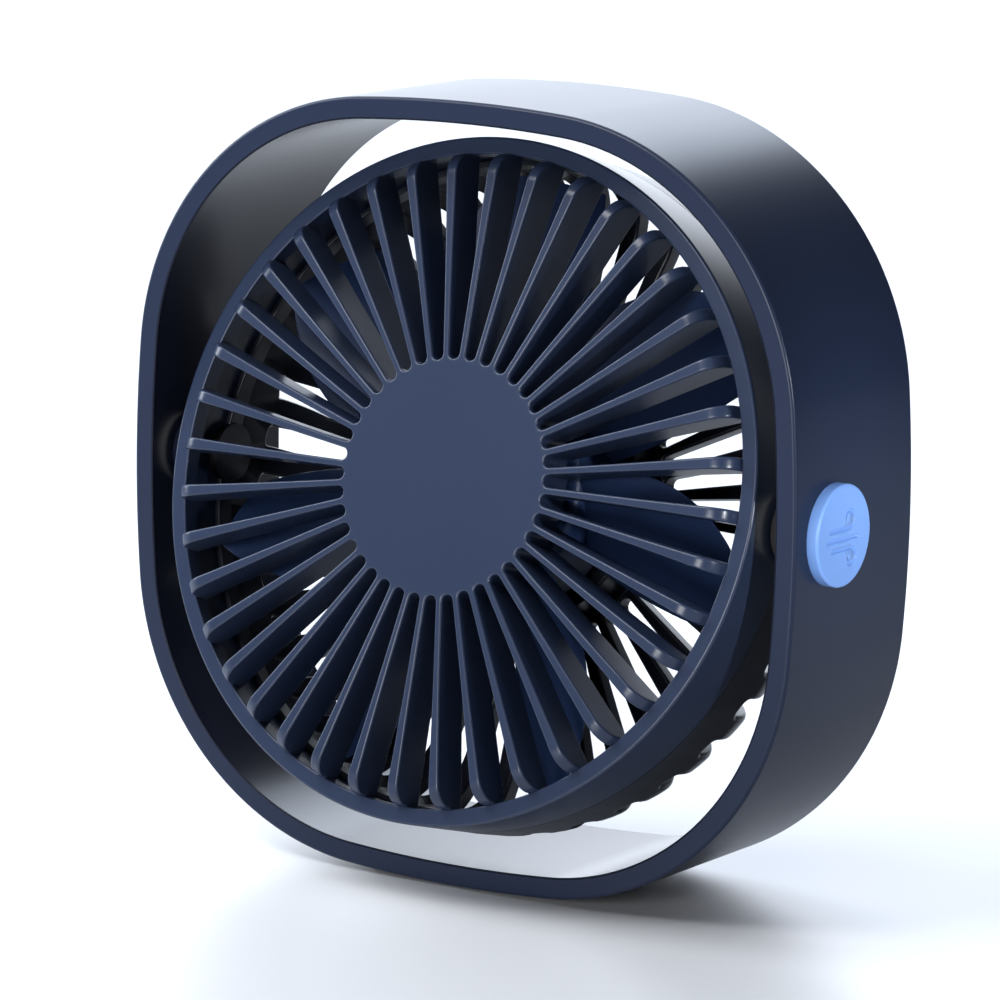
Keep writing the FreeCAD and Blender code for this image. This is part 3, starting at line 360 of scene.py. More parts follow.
def make_materials():
    blue = (0.15, 0.28, 0.60)
    return {
        "shell_navy": moulded("ring_shell_plastic", (0.0105, 0.0165, 0.037), 0.30, gloss=0.2),
        "liner_navy": moulded("ring_liner_plastic", (0.007, 0.009, 0.019), 0.22, gloss=0.24),
        "grille_navy": moulded("grille_plastic", (0.0165, 0.0255, 0.053), 0.28, gloss=0.34),
        "rear_navy": moulded("rear_shell_plastic", (0.012, 0.0145, 0.022), 0.32),
        "accent_blue": moulded("accent_plastic", blue, 0.34, tone=0.03),
        "impeller_navy": moulded("impeller_plastic", (0.010, 0.020, 0.055), 0.38, gloss=0.14),
        "button_blue": moulded("button_plastic", blue, 0.34, tone=0.03),
        "foot_rubber": rubber("foot_rubber_material", (0.012, 0.012, 0.014)),
        "acetal_white": moulded("acetal_plastic", (0.62, 0.62, 0.58), 0.4),
        "steel": turned_metal("plated_steel", (0.62, 0.62, 0.63), 0.3),
        "black_steel": turned_metal("blackened_steel", (0.045, 0.045, 0.05), 0.38),
        "bronze": turned_metal("sintered_bronze", (0.48, 0.29, 0.13), 0.48),
        "core_steel": turned_metal("lacquered_core", (0.16, 0.16, 0.17), 0.4),
        "copper_wire": winding("copper_winding", (0.62, 0.24, 0.09)),
        "magnet": turned_metal("ferrite", (0.06, 0.06, 0.065), 0.55),
        "board_green": board("circuit_board", (0.008, 0.09, 0.03)),
        "chip_black": moulded("moulded_epoxy", (0.012, 0.012, 0.012), 0.5),
        "lead_sleeve": moulded("lead_insulation", (0.32, 0.01, 0.01), 0.45),
        "light_pipe": clear("clear_acrylic"),
    }


def dress(piece, body, slot, *nodes):
    """Rides a finished piece on its body, with its slot's material and the CAD nodes it replaces."""
    piece.data.materials.clear()
    piece.data.materials.append(MATERIALS[slot])
    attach(piece, body)
    if nodes:
        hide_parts(*nodes)
    return piece


# ---------------------------------------------------------------- ring stand


def make_ring_shell():
    front, back = -RING_DEPTH / 2, RING_DEPTH / 2
    lip_inset = THICKNESS - TONGUE - GAP
    shape = Shape()
    sweep_ring(shape, rounded([
        (0, front, 0.75),
        (lip_inset, front, 0.12),
        (lip_inset, front + LIP, 0),
        (SHELL_WALL, front + LIP, 0.3),
        (SHELL_WALL, back, 0.1),
        (0, back, 0.6),
    ]))
    dress(shape.piece("ring_shell", RING), "stand", "shell_navy", "stand_shell")


def make_ring_liner():
    front, back = -RING_DEPTH / 2, RING_DEPTH / 2
    tongue_inset = THICKNESS - TONGUE
    wall_inset = THICKNESS - LINER_WALL
    shape = Shape()
    sweep_ring(shape, rounded([
        (tongue_inset, front + 0.03, 0.12),
        (THICKNESS, front + 0.03, 0.22),
        (THICKNESS, back, 0.7),
        (SHELL_WALL + GAP, back, 0.15),
        (SHELL_WALL + GAP, back - LIP, 0),
        (wall_inset, back - LIP, 0.3),
        (wall_inset, front + LIP + GAP, 0),
        (tongue_inset, front + LIP + GAP, 0),
    ]))
    dress(shape.piece("ring_liner", RING), "stand", "liner_navy", "stand_liner")


def make_bosses():
    """The turned bosses inside the ring that hold the pivot bushes."""
    outer = RING_HALF - THICKNESS + 0.6
    shape = Shape()
    for side in (1, -1):
        profile = rounded([
            (5.05, BOSS_INNER, 0.1),
            (BOSS_RADIUS, BOSS_INNER, 0.35),
            (BOSS_RADIUS, outer, 0),
            (5.05, outer, 0),
        ])
        part = Shape()
        part.lathe(profile, 96)
        start = len(shape.points)
        shape.points.extend((side * z, y, x) for x, y, z in part.points)
        shape.faces.extend(tuple(start + i for i in face) for face in part.faces)
    place = Matrix.Translation(HEAD.translation - RING.translation) @ RING
    dress(shape.piece("pivot_bosses", place), "stand", "liner_navy")


def make_pivot_cap(name, side):
    """The round cap over the pivot, its face engraved with three breeze lines."""
    low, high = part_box(name)
    face = max(abs(low.x), abs(high.x)) / MM
    shape = Shape()
    shape.lathe(rounded([
        (0, face, 0),
        (CAP_RADIUS, face, CAP_EDGE),
        (CAP_RADIUS, CAP_SEAT - 0.1, 0.1),
        (8.1, CAP_SEAT - 0.1, 0),
        (8.1, CAP_SEAT - 1.6, 0.2),
        (6.4, CAP_SEAT - 1.6, 0),
        (6.4, CAP_SEAT + 1.1, 0),
        (0, CAP_SEAT + 1.1, 0),
    ], 7), 160, closed=False)
    upright = Matrix(((0, 0, side, 0), (side, 0, 0, 0), (0, 1, 0, 0), (0, 0, 0, 1)))
    place = Matrix.Translation(HEAD.translation) @ Matrix.Scale(MM, 4) @ upright
    cap = shape.piece(f"{name}_looks", place)
    engrave(cap, place, face)
    dress(cap, "stand", "accent_blue", name)


def engrave(cap, place, face):
    """Cuts round-bottomed breeze lines into a cap's face."""
    curve = bpy.data.curves.new("breeze", "CURVE")
    curve.dimensions = "3D"
    curve.bevel_depth = BREEZE_WIDTH / 2
    curve.bevel_resolution = 5
    curve.use_fill_caps = True
    for height, start, end, curl in BREEZE_LINES:
        points = [(x, height) for x in spread(start, end, 12)]
        if curl:
            last = points[-1]
            for turn in spread(0, 1.35 * math.pi, 20)[1:]:
                lift = curl * (1 - math.cos(turn))
                points.append((last[0] + abs(curl) * math.sin(turn), last[1] + lift))
        spline = curve.splines.new("POLY")
        spline.points.add(len(points) - 1)
        for point, (x, y) in zip(spline.points, points):
            point.co = (x, y, face, 1)
    line = bpy.data.objects.new("breeze", curve)
    bpy.context.scene.collection.objects.link(line)
    mesh = bpy.data.meshes.new_from_object(line.evaluated_get(bpy.context.evaluated_depsgraph_get()))
    mesh.transform(place)
    cutter = bpy.data.objects.new("breeze_cutter", mesh)
    bpy.context.scene.collection.objects.link(cutter)
    cut = cap.modifiers.new("engraving", "BOOLEAN")
    cut.object = cutter
    cut.operation = "DIFFERENCE"
    cut.solver = "EXACT"
    cap.modifiers.move(len(cap.modifiers) - 1, 0)
    apply_modifier(cap, "engraving")
    bpy.data.objects.remove(cutter)
    bpy.data.objects.remove(line)


def apply_modifier(piece, name):
    with bpy.context.temp_override(object=piece, active_object=piece, selected_objects=[piece]):
        bpy.ops.object.modifier_apply(modifier=name)


# ---------------------------------------------------------------- slotted shells


def polar_point(radius, angle, height):
    return Vector((radius * math.cos(angle), radius * math.sin(angle), height))


class Skin:
    """A turned wall as a path of (radius, height, slope): slope 0 faces along the fan axis and a
    right angle faces outwards. front is 1 if slope 0 faces forward, -1 if it faces back."""

    def __init__(self, front):
        self.front = front

    def normal(self, slope, angle):
        return Vector((
            math.sin(slope) * math.cos(angle),
            math.sin(slope) * math.sin(angle),
            math.cos(slope) * self.front,
        ))


def edge_rows(point, into, normal, radius, steps=4):
    """Points of a rounded edge, from the wall up over onto the surface."""
    rows = []
    for k in range(steps + 1):
        turn = math.pi / 2 * k / steps
        shift = into * (radius * (1 - math.cos(turn))) - normal * (radius * (1 - math.sin(turn)))
        rows.append(point + shift)
    return rows


def rib_angle(side, radius, half_width):
    """The angle from the slot's middle of a rib's edge, on one side of the slot."""
    return side * (PITCH / 2 - math.asin(half_width / radius))


def add_sectors(shape, columns, closed):
    """Repeats one slot's columns round the fan axis, a rib on each main axis."""
    for sector in range(SLOTS):
        turn = Matrix.Rotation(PITCH * (sector + 0.5), 3, "Z")
        turned = [[tuple(turn @ point) for point in column] for column in columns]
        shape.lattice(turned, close_columns=closed)


def round_end(inner, half_width):
    """Middle and radius of the arc that ends a slot between two ribs at its inner end."""
    lean = math.sin(PITCH / 2)
    middle = (inner - half_width) / (1 - lean)
    return middle, middle * lean - half_width


def inner_boundary(radius, start, share):
    """A point on the sector's inner edge: down one rib, round the hub, and up the next rib."""
    if share < 0.25:
        return start + (radius - start) * share * 4, PITCH / 2
    if share > 0.75:
        return radius + (start - radius) * (share - 0.75) * 4, -PITCH / 2
    return radius, PITCH / 2 - PITCH * (share - 0.25) * 2


# ---------------------------------------------------------------- front grille


def front_rib_half(radius):
    """Half a rib's width: 1.35 mm across near the hub, growing to 2.2 mm near the rim."""
    t = (radius - 24.0) / 33.0
    return (1.35 + 0.1 * t + 0.75 * t * t) / 2


def front_path():
    """(radius, height, slope) of a rib's top, from the hub out and down into the rim."""
    foot = RIM_OPENING - SHOULDER
    path = [(radius, GRILLE_FRONT, 0.0) for radius in spread(FRONT_SLOT_INNER + FRONT_SLOT_START, foot, 12)[:-1]]
    for slope in spread(0, math.pi / 2, 12):
        path.append((
            foot + SHOULDER * math.sin(slope),
            RIM_FRONT + SHOULDER * math.cos(slope),
            slope,
        ))
    path.append((RIM_OPENING + 0.5, RIM_FRONT - 0.9, math.pi / 3))
    return path


def front_column(point, into, normal, top_edge, back_edge):
    """One column of points across a front rib: back face, wall, rounded edge, top face."""
    base = Vector((point.x, point.y, RIB_BACK))
    down = Vector((0, 0, -1))
    back = edge_rows(base, into, down, BACK_EDGE, 3)
    top = edge_rows(point, into, normal, TOP_EDGE, 5)
    middle = (top[-1] + top_edge) / 2
    return [back_edge, *reversed(back), *top, middle, top_edge]


def front_side(side):
    """Columns along one side of a slot, from the rim in to the hub."""
    skin = Skin(1)
    columns = []
    for radius, height, slope in reversed(front_path()):
        angle = rib_angle(side, radius, front_rib_half(radius))
        point = polar_point(radius, angle, height)
        middle = side * PITCH / 2
        into = Vector((-math.sin(middle), math.cos(middle), 0)) * side
        edge = polar_point(radius, middle, height)
        under = polar_point(radius, middle, RIB_BACK)
        columns.append(front_column(point, into, skin.normal(slope, angle), edge, under))
    return columns


def make_front_grille():
    shape = Shape()
    half = front_rib_half(FRONT_SLOT_INNER)
    centre, radius = round_end(FRONT_SLOT_INNER, half)
    start = front_path()[0][0]
    end = []
    for share in spread(0, 1, 16)[1:-1]:
        turn = math.pi / 2 + PITCH / 2 + (math.pi - PITCH) * share
        into = Vector((math.cos(turn), math.sin(turn), 0))
        point = Vector((centre, 0, GRILLE_FRONT)) + into * radius
        edge = polar_point(*inner_boundary(HUB_FACE, start, share), GRILLE_FRONT)
        under = polar_point(*inner_boundary(SKIRT_INNER, start, share), RIB_BACK)
        end.append(front_column(point, into, Vector((0, 0, 1)), edge, under))
    near = front_side(1)
    far = list(reversed(front_side(-1)))
    add_sectors(shape, near + end + far, closed=False)
    around = 8 * SLOTS
    face = [(radius, GRILLE_FRONT) for radius in (HUB_FACE, 12, 6, 0)]
    inside = GRILLE_FRONT - 1.8
    shape.lathe(face, around, closed=False)
    shape.lathe([(SKIRT_INNER, RIB_BACK), (SKIRT_INNER, inside), (0, inside)], around, closed=False)
    shape.lathe(rounded([
        (RIM_OPENING, RIM_FRONT, 0.35),
        (HEAD_RADIUS, RIM_FRONT, 0.55),
        (HEAD_RADIUS, SEAM, 0.2),
        (63.2, SEAM, 0),
        (63.2, RIB_BACK, 0.4),
        (RIM_OPENING, RIB_BACK, 0.15),
    ]), around)
    dress(shape.piece("front_grille_looks", HEAD), "head", "grille_navy", "front_grille")


# ---------------------------------------------------------------- rear grille


def rear_slot_half(radius):
    """Wider outwards, then drawn in a little round the shell's edge."""
    turn = HEAD_RADIUS - REAR_SLOT_TURN
    flare = REAR_SLOT_FLARE * (min(radius, turn) - REAR_SLOT_INNER)
    return REAR_SLOT_HALF + flare - REAR_SLOT_DRAW * max(radius - turn, 0)


def rear_rib_half(radius):
    return radius * math.sin(PITCH / 2) - rear_slot_half(radius)


def rear_path():
    """(radius, height, slope) of the rear shell's outside, from the slots' inner end out."""
    flat = HEAD_RADIUS - REAR_EDGE
    first = REAR_SLOT_INNER + REAR_SLOT_START
    path = [(radius, REAR_BACK, 0.0) for radius in spread(first, flat, 10)[:-1]]
    for slope in spread(0, math.pi / 2, 18):
        path.append((
            flat + REAR_EDGE * math.sin(slope),
            REAR_BACK + REAR_EDGE * (1 - math.cos(slope)),
            slope,
        ))
    return path


def rear_column(point, into, normal, edge, edge_normal):
    """One column across a rear rib: inner face, rounded edges and wall, outer face."""
    outer = edge_rows(point, into, normal, REAR_ROUND, 6)
    inner = edge_rows(point - normal * REAR_FIN, into, -normal, 0.5, 3)
    inner_edge = edge - edge_normal * REAR_WALL
    return [
        inner_edge,
        *reversed(inner),
        *outer,
        (outer[-1] * 2 + edge) / 3,
        (outer[-1] + edge * 2) / 3,
        edge,
    ]


def rear_side(side):
    skin = Skin(-1)
    columns = []
    for radius, height, slope in rear_path():
        angle = rib_angle(side, radius, rear_rib_half(radius))
        middle = side * PITCH / 2
        point = polar_point(radius, angle, height)
        into = Vector((-math.sin(middle), math.cos(middle), 0)) * side
        edge = polar_point(radius, middle, height)
        columns.append(rear_column(
            point, into, skin.normal(slope, angle), edge, skin.normal(slope, middle)))
    return columns


def rear_outer_end():
    """Columns round the slot's end on the side wall, from the near rib to the far rib."""
    skin = Skin(-1)
    out = math.pi / 2
    last = rib_angle(1, HEAD_RADIUS, rear_rib_half(HEAD_RADIUS))
    corner = REAR_SLOT_CORNER
    turn_in = corner / HEAD_RADIUS
    places = [(last, REAR_SLOT_END - corner, 0.0)]
    for lean in spread(0, math.pi / 2, 4)[1:]:
        places.append((
            last - turn_in * (1 - math.cos(lean)),
            REAR_SLOT_END - corner + corner * math.sin(lean),
            lean,
        ))
    for angle in spread(last - turn_in, 0, 4)[1:]:
        places.append((angle, REAR_SLOT_END, math.pi / 2))
    places += [(-angle, height, math.pi - lean) for angle, height, lean in reversed(places[:-1])]
    columns = []
    top = -SEAM
    count = len(places) - 1
    for i, (angle, height, lean) in enumerate(places):
        share = i / count
        point = polar_point(HEAD_RADIUS, angle, height)
        across = Vector((-math.sin(angle), math.cos(angle), 0))
        into = across * math.cos(lean) + Vector((0, 0, math.sin(lean)))
        if share < 0.25:
            edge_angle, edge_height = PITCH / 2, height + (top - height) * share * 4
        elif share > 0.75:
            edge_angle, edge_height = -PITCH / 2, height + (top - height) * (1 - share) * 4
        else:
            edge_angle, edge_height = PITCH / 2 - PITCH * (share - 0.25) * 2, top
        edge = polar_point(HEAD_RADIUS, edge_angle, edge_height)
        columns.append(rear_column(
            point, into, skin.normal(out, angle), edge, skin.normal(out, edge_angle)))
    return columns


def make_rear_grille():
    shape = Shape()
    half = rear_rib_half(REAR_SLOT_INNER + REAR_SLOT_START)
    centre, radius = round_end(REAR_SLOT_INNER, half)
    start = rear_path()[0][0]
    down = Vector((0, 0, -1))
    end = []
    for share in spread(0, 1, 16)[1:-1]:
        turn = math.pi / 2 + PITCH / 2 + (math.pi - PITCH) * share
        into = Vector((math.cos(turn), math.sin(turn), 0))
        point = Vector((centre, 0, REAR_BACK)) + into * radius
        edge = polar_point(*inner_boundary(CUP_RADIUS + 0.5, start, share), REAR_BACK)
        end.append(rear_column(point, into, down, edge, down))
    near = list(reversed(rear_side(1)))
    far = rear_side(-1)
    around_end = list(reversed(rear_outer_end()))
    add_sectors(shape, near + end + far + around_end, closed=True)
    around = 8 * SLOTS
    inside = REAR_BACK + REAR_WALL
    shape.lathe(rounded([
        (CUP_RADIUS + 0.5, REAR_BACK, 0),
        (CUP_INNER, REAR_BACK, 0.35),
        (CUP_INNER, FLOOR_BACK, 0.5),
        (0, FLOOR_BACK, 0),
        (0, FLOOR_FRONT, 0),
        (CUP_RADIUS, FLOOR_FRONT, 0.6),
        (CUP_RADIUS, inside, 0.4),
        (CUP_RADIUS + 0.5, inside, 0),
    ]), around, closed=False)
    shape.lathe(rounded([
        (63.05, -2.0, 0),
        (63.05, 2.0, 0.3),
        (61.85, 2.0, 0.3),
        (61.85, -2.0, 0),
    ]), around)
    shape.lathe([(HEAD_RADIUS, -SEAM), (HEAD_RADIUS - REAR_WALL, -SEAM)], around, closed=False)
    dress(shape.piece("rear_grille_looks", HEAD), "head", "rear_navy", "rear_grille")


# ---------------------------------------------------------------- impeller


def blend(stations, values, at):
    """A smooth curve through three values at three stations."""
    a, b, c = stations
    first = values[0] * (at - b) * (at - c) / ((a - b) * (a - c))
    second = values[1] * (at - a) * (at - c) / ((b - a) * (b - c))
    third = values[2] * (at - a) * (at - b) / ((c - a) * (c - b))
    return first + second + third


def blade_point(u, v, face, edge):
    """A point of the blade at chord share u, span share v, on face 1 (front) or -1 (rear)."""
    radius = HUB_RADIUS - 0.6 + (BLADE_TIP - HUB_RADIUS + 0.6) * v
    lead = blend(BLADE_STATIONS, BLADE_LEAD, radius)
    trail = blend(BLADE_STATIONS, BLADE_TRAIL, radius)
    angle = math.radians(lead + (trail - lead) * u)
    camber = 1.2 * math.sin(math.pi * u)
    front = 4.4 + 0.6 * v
    back = -8.2 - 1.0 * v
    height = front + (back - front) * u + camber
    thick = (1.05 - 0.3 * v) * edge
    return polar_point(radius, angle + math.pi / 2, height + face * thick)


def make_impeller():
    shape = Shape()
    chord = 26
    span = 20
    for blade in range(BLADES):
        turn = Matrix.Rotation(FULL * blade / BLADES, 3, "Z")
        columns = []
        for j in range(span + 1):
            v = j / span
            tip = math.sqrt(max(1 - max(v - 0.985, 0) ** 2 / 0.015**2, 0.02))
            loop = []
            for k in range(2 * chord):
                face = 1 if k < chord else -1
                share = k / chord if k < chord else 2 - k / chord
                u = (1 - math.cos(math.pi * share)) / 2
                edge = min(1.0, 2.2 * math.sqrt(max(u * (1 - u), 0)))
                loop.append(tuple(turn @ blade_point(u, v, face, edge * tip)))
            columns.append(loop)
        shape.lattice(columns, close_rows=True)
        last = len(shape.points) - 2 * chord
        shape.faces.append(tuple(range(last, last + 2 * chord)))
    shape.lathe(rounded([
        (0, HUB_FRONT, 0),
        (HUB_RADIUS, HUB_FRONT, 2.2),
        (HUB_RADIUS, HUB_BACK, 0.5),
        (20.0, HUB_BACK, 0.2),
        (20.0, 3.1, 0.6),
        (0, 3.1, 0),
    ]), 160, closed=False)
    dress(shape.piece("impeller_looks", HEAD), "rotor", "impeller_navy", "impeller")


# ---------------------------------------------------------------- rear hub


def circle_spline(curve, radius, x=0.0, y=0.0, steps=96):
    spline = curve.splines.new("POLY")
    spline.points.add(steps - 1)
    spline.use_cyclic_u = True
    for i, point in enumerate(spline.points):
        turn = FULL * i / steps
        point.co = (x + radius * math.cos(turn), y + radius * math.sin(turn), 0, 1)


def lozenge_spline(curve, width, height, y, steps=14):
    """A round-ended slot outline, as a USB-C mouth has."""
    radius = height / 2
    reach = width / 2 - radius
    places = []
    for side, first in ((1, -math.pi / 2), (-1, math.pi / 2)):
        for turn in spread(first, first + math.pi, steps):
            places.append((side * reach + radius * math.cos(turn), y + radius * math.sin(turn)))
    spline = curve.splines.new("POLY")
    spline.points.add(len(places) - 1)
    spline.use_cyclic_u = True
    for point, (px, py) in zip(spline.points, places):
        point.co = (px, py, 0, 1)


def plate(name, outlines, bottom, top, edge, matrix):
    """A flat plate with holes and rounded edges, from 2-D outlines."""
    curve = bpy.data.curves.new(name, "CURVE")
    curve.dimensions = "2D"
    curve.fill_mode = "BOTH"
    outlines(curve)
    curve.extrude = (top - bottom) / 2 - edge
    curve.bevel_depth = edge
    curve.bevel_resolution = 3
    curve.offset = -edge
    source = bpy.data.objects.new(name, curve)
    bpy.context.scene.collection.objects.link(source)
    mesh = bpy.data.meshes.new_from_object(source.evaluated_get(bpy.context.evaluated_depsgraph_get()))
    bpy.data.objects.remove(source)
    mesh.transform(matrix @ Matrix.Translation((0, 0, (top + bottom) / 2)))
    mesh.polygons.foreach_set("use_smooth", [True] * len(mesh.polygons))
    mesh.set_sharp_from_angle(angle=SHARP)
    made = bpy.data.objects.new(name, mesh)
    bpy.context.scene.collection.objects.link(made)
    made.modifiers.new("weighted_normals", "WEIGHTED_NORMAL").keep_sharp = True
    return made


def make_hub_cover():
    def outlines(curve):
        circle_spline(curve, 22.4, steps=160)
        circle_spline(curve, 6.3)
        circle_spline(curve, 1.15, 0, 12.5, 32)
        lozenge_spline(curve, 9.54, 3.86, -13.5)

    cover = plate("hub_cover_looks", outlines, REAR_BACK, REAR_BACK + 1.6, 0.25, HEAD)
    dress(cover, "head", "rear_navy", "hub_cover")


def make_button():
    """The power button: a shallow dish with a rounded rim, over its flange."""
    shape = Shape()
    dish = [(0.0, -25.35), (1.5, -25.37), (3.0, -25.43), (4.2, -25.52), (5.0, -25.62)]
    rim = rounded([
        (5.0, -25.62, 0),
        (6.0, -25.7, 0.3),
        (6.0, -22.75, 0),
        (7.2, -22.75, 0.1),
        (7.2, -22.25, 0),
        (0, -22.25, 0),
    ])
    shape.lathe(dish + rim[1:], 96, closed=False)
    dress(shape.piece("power_button_looks", HEAD), "button", "button_blue", "power_button")


def make_usb_socket():
    """A rolled steel shell round a black tongue."""
    def outlines(curve):
        lozenge_spline(curve, 8.94, 3.26, -13.5)
        lozenge_spline(curve, 8.34, 2.66, -13.5)

    shell = plate("usb_socket_shell", outlines, -24.45, -18.2, 0.1, HEAD)
    dress(shell, "head", "steel", "usb_socket")
    shape = Shape()
    add_block(shape, (-3.3, -13.85, -23.8), (3.3, -13.15, -18.3))
    add_block(shape, (-4.1, -14.75, -19.0), (4.1, -12.25, -18.3))
    dress(shape.piece("usb_socket_tongue", HEAD), "head", "chip_black")


def add_block(shape, low, high):
    corners = [
        (x, y, z)
        for x in (low[0], high[0])
        for y in (low[1], high[1])
        for z in (low[2], high[2])
    ]
    start = len(shape.points)
    shape.points.extend(corners)
    for face in ((0, 1, 3, 2), (4, 6, 7, 5), (0, 4, 5, 1), (2, 3, 7, 6), (0, 2, 6, 4), (1, 5, 7, 3)):
        shape.faces.append(tuple(start + i for i in face))


def make_foot():
    """The rubber pad with rounded corners and a chamfered edge."""
    low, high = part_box("foot_pad")
    size = (high - low) / MM
    corner = 3.0

    def outlines(curve):
        spline = curve.splines.new("POLY")
        x, y = size.x / 2, size.y / 2
        places = rounded([(-x, -y, corner), (x, -y, corner), (x, y, corner), (-x, y, corner)], 8)
        spline.points.add(len(places) - 1)
        spline.use_cyclic_u = True
        for point, (px, py) in zip(spline.points, places):
            point.co = (px, py, 0, 1)

    middle = Vector(((low.x + high.x) / 2, (low.y + high.y) / 2, low.z))
    place = Matrix.Translation(middle) @ Matrix.Scale(MM, 4)
    dress(plate("foot_pad_looks", outlines, 0, size.z, 0.2, place), "stand", "foot_rubber", "foot_pad")


# ---------------------------------------------------------------- stage


def make_floor():
    mesh = bpy.data.meshes.new("floor")
    corners = [(x * FLOOR_REACH, y * FLOOR_REACH, 0) for x, y in ((-1, -1), (1, -1), (1, 1), (-1, 1))]
    mesh.from_pydata(corners, [], [(0, 1, 2, 3)])
    floor = bpy.data.objects.new("floor", mesh)
    bpy.context.scene.collection.objects.link(floor)
    nodes = Nodes("floor_material")
    nodes.set(Base_Color=nodes.shade(nodes.noise(6), (0.58, 0.59, 0.61), (0.61, 0.62, 0.64)))
    nodes.set(Roughness=0.35)
    mesh.materials.append(nodes.material)


def aim(thing, place, target):
    thing.location = place
    thing.rotation_mode = "QUATERNION"
    thing.rotation_quaternion = (Vector(target) - Vector(place)).to_track_quat("-Z", "Y")


def softbox(name, place, width, height, radiance, colour=(1, 1, 1)):
    """A soft rectangular light facing the fan, as bright all over as its radiance."""
    light = bpy.data.lights.new(name, "AREA")
    light.shape = "RECTANGLE"
    light.size, light.size_y = width, height
    light.energy = radiance * math.pi * width * height
    light.color = colour
    made = bpy.data.objects.new(name, light)
    made.visible_camera = False
    bpy.context.scene.collection.objects.link(made)
    aim(made, place, RING.translation)


def flag(name, middle, along, length, height):
    """A black card standing on the floor out of shot, to keep the floor's far side out of the gloss."""
    side = Vector(along).normalized() * (length / 2)
    foot = Vector(middle)
    low, high = foot - side, foot + side
    mesh = bpy.data.meshes.new(name)
    mesh.from_pydata([(*low, 0), (*high, 0), (*high, height), (*low, height)], [], [(0, 1, 2, 3)])
    card = bpy.data.objects.new(name, mesh)
    card.visible_camera = False
    bpy.context.scene.collection.objects.link(card)
    nodes = Nodes(f"{name}_material")
    nodes.set(Base_Color=nodes.shade(nodes.noise(40), (0.010, 0.010, 0.012), (0.016, 0.016, 0.018)))
    nodes.set(Roughness=0.8)
    mesh.materials.append(nodes.material)


def fade(tree, value, low, high):
    """0 below low to 1 above high, smoothly."""
    node = tree.nodes.new("ShaderNodeMapRange")
    node.interpolation_type = "SMOOTHSTEP"
    node.inputs["From Min"].default_value = low
    node.inputs["From Max"].default_value = high
    tree.links.new(value, node.inputs["Value"])
    return node.outputs["Result"]


def product(tree, first, second):
    node = tree.nodes.new("ShaderNodeMath")
    node.operation = "MULTIPLY"
    for socket, value in zip(node.inputs, (first, second)):
        if isinstance(value, bpy.types.NodeSocket):
            tree.links.new(value, socket)
        else:
            socket.default_value = value
    return node.outputs[0]


def make_world():
    """A dark studio with a bright wall behind on the left and a pale ceiling."""
    world = bpy.data.worlds.new("studio")
    bpy.context.scene.world = world
    world.use_nodes = True
    tree = world.node_tree
    room = tree.nodes["Background"]
    room.inputs["Color"].default_value = (0.70, 0.80, 1.0, 1)
    room.inputs["Strength"].default_value = 0.10
    total = room.outputs[0]
    place = tree.nodes.new("ShaderNodeTexCoord")
    parts = tree.nodes.new("ShaderNodeSeparateXYZ")
    tree.links.new(place.outputs["Generated"], parts.inputs[0])
    x, y, z = parts.outputs
    wall = product(tree, fade(tree, x, 0.05, -0.30), fade(tree, y, 0.0, 0.5))
    ceiling = fade(tree, z, 0.6, 1.0)
    for amount, strength in ((wall, WALL_GLOW), (ceiling, CEILING_GLOW)):
        patch = tree.nodes.new("ShaderNodeBackground")
        patch.inputs["Color"].default_value = (0.84, 0.90, 1.0, 1)
        tree.links.new(product(tree, amount, strength), patch.inputs["Strength"])
        both = tree.nodes.new("ShaderNodeAddShader")
        tree.links.new(total, both.inputs[0])
        tree.links.new(patch.outputs[0], both.inputs[1])
        total = both.outputs[0]
    seen = tree.nodes.new("ShaderNodeBackground")
    seen.inputs["Color"].default_value = (0.88, 0.91, 0.96, 1)
    path = tree.nodes.new("ShaderNodeLightPath")
    choice = tree.nodes.new("ShaderNodeMixShader")
    tree.links.new(path.outputs["Is Camera Ray"], choice.inputs["Fac"])
    tree.links.new(total, choice.inputs[1])
    tree.links.new(seen.outputs[0], choice.inputs[2])
    tree.links.new(choice.outputs[0], tree.nodes["World Output"].inputs["Surface"])


def spotlight(name, place, target, width, power, colour):
    """A soft-edged spot that lights a round patch of the given width."""
    light = bpy.data.lights.new(name, "SPOT")
    light.spot_size = 2 * math.atan(width / 2 / (Vector(place) - Vector(target)).length)
    light.spot_blend = 1.0
    light.shadow_soft_size = 0.03
    light.energy = power
    light.color = colour
    made = bpy.data.objects.new(name, light)
    bpy.context.scene.collection.objects.link(made)
    aim(made, place, target)


def make_lights():
    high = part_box("right_pivot_cap")[1]
    spotlight("cap_light", (0.85, -0.25, 0.24), (high.x, 0.0, high.z), 0.10, 42.0, (0.92, 0.96, 1.0))
    softbox("front_light", (0.10, -2.20, 0.37), 1.00, 0.80, 14.5)
    softbox("back_light", (-0.62, 1.60, 1.10), 0.80, 0.60, 2.5, (0.72, 0.84, 1.0))
    softbox("key_light", (-0.10, -0.24, 0.38), 0.20, 0.18, 11.0)
    softbox("left_light", (-0.80, -0.26, 0.52), 0.30, 0.80, 12.0, (0.90, 0.95, 1.0))
    flag("right_flag", (0.55, 0.72), (1.0, -0.55), 1.0, 0.16)


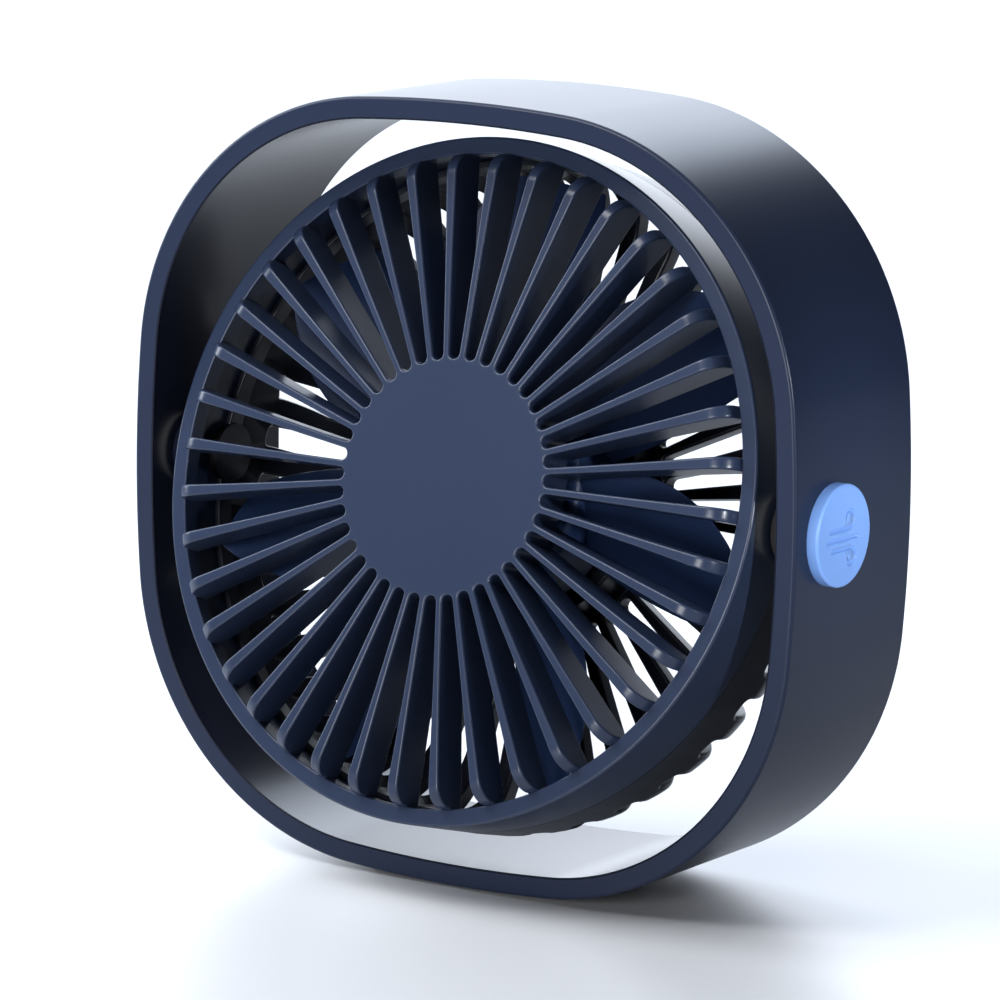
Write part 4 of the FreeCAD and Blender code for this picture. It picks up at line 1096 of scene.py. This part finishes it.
def make_camera():
    """Stands to the right of the fan and a little above, at a long focal length."""
    azimuth, elevation, roll = math.radians(33.61), math.radians(10.46), 0.0164
    distance, across, rise = 1063.7, -2.806, -3.332
    look = Vector((
        -math.sin(azimuth) * math.cos(elevation),
        math.cos(azimuth) * math.cos(elevation),
        -math.sin(elevation),
    ))
    right = Vector((math.cos(azimuth), math.sin(azimuth), 0))
    up = right.cross(look)
    tilted_right = right * math.cos(roll) + up * math.sin(roll)
    tilted_up = up * math.cos(roll) - right * math.sin(roll)
    place = RING.translation + (tilted_right * across + tilted_up * rise - look * distance) * MM
    data = bpy.data.cameras.new("camera")
    data.sensor_width = 36.0
    data.lens = 200.34
    camera = bpy.data.objects.new("camera", data)
    turn = Matrix((tilted_right, tilted_up, -look)).transposed().to_4x4()
    camera.matrix_world = Matrix.Translation(place) @ turn
    bpy.context.scene.collection.objects.link(camera)
    bpy.context.scene.camera = camera


# ---------------------------------------------------------------- the whole scene


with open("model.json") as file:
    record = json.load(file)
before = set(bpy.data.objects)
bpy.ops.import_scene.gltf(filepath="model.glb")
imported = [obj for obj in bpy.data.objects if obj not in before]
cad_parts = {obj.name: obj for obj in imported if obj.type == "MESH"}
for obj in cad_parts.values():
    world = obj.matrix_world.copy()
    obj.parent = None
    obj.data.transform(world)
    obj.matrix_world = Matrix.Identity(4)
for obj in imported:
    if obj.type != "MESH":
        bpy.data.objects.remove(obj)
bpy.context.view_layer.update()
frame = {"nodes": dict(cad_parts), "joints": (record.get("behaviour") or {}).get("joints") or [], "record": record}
RING, HEAD = load_frames(frame)
shell_low, shell_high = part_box("stand_shell")
RING_HALF = (shell_high.x - shell_low.x) / 2 / MM
RING_DEPTH = (shell_high.y - shell_low.y) / MM
HEAD_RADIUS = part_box("front_grille")[1].x / MM
MATERIALS = make_materials()
for part in frame["record"]["subparts"]:
    node = frame["nodes"][part["node"]]
    node.data.materials.clear()
    node.data.materials.append(MATERIALS[part["material_slot"]])

make_ring_shell()
make_ring_liner()
make_bosses()
make_pivot_cap("right_pivot_cap", 1)
make_pivot_cap("left_pivot_cap", -1)
make_foot()
make_front_grille()
make_rear_grille()
make_impeller()
make_hub_cover()
make_button()
make_usb_socket()
make_floor()
make_world()
make_lights()
make_camera()
bpy.context.scene.view_settings.view_transform = "Standard"
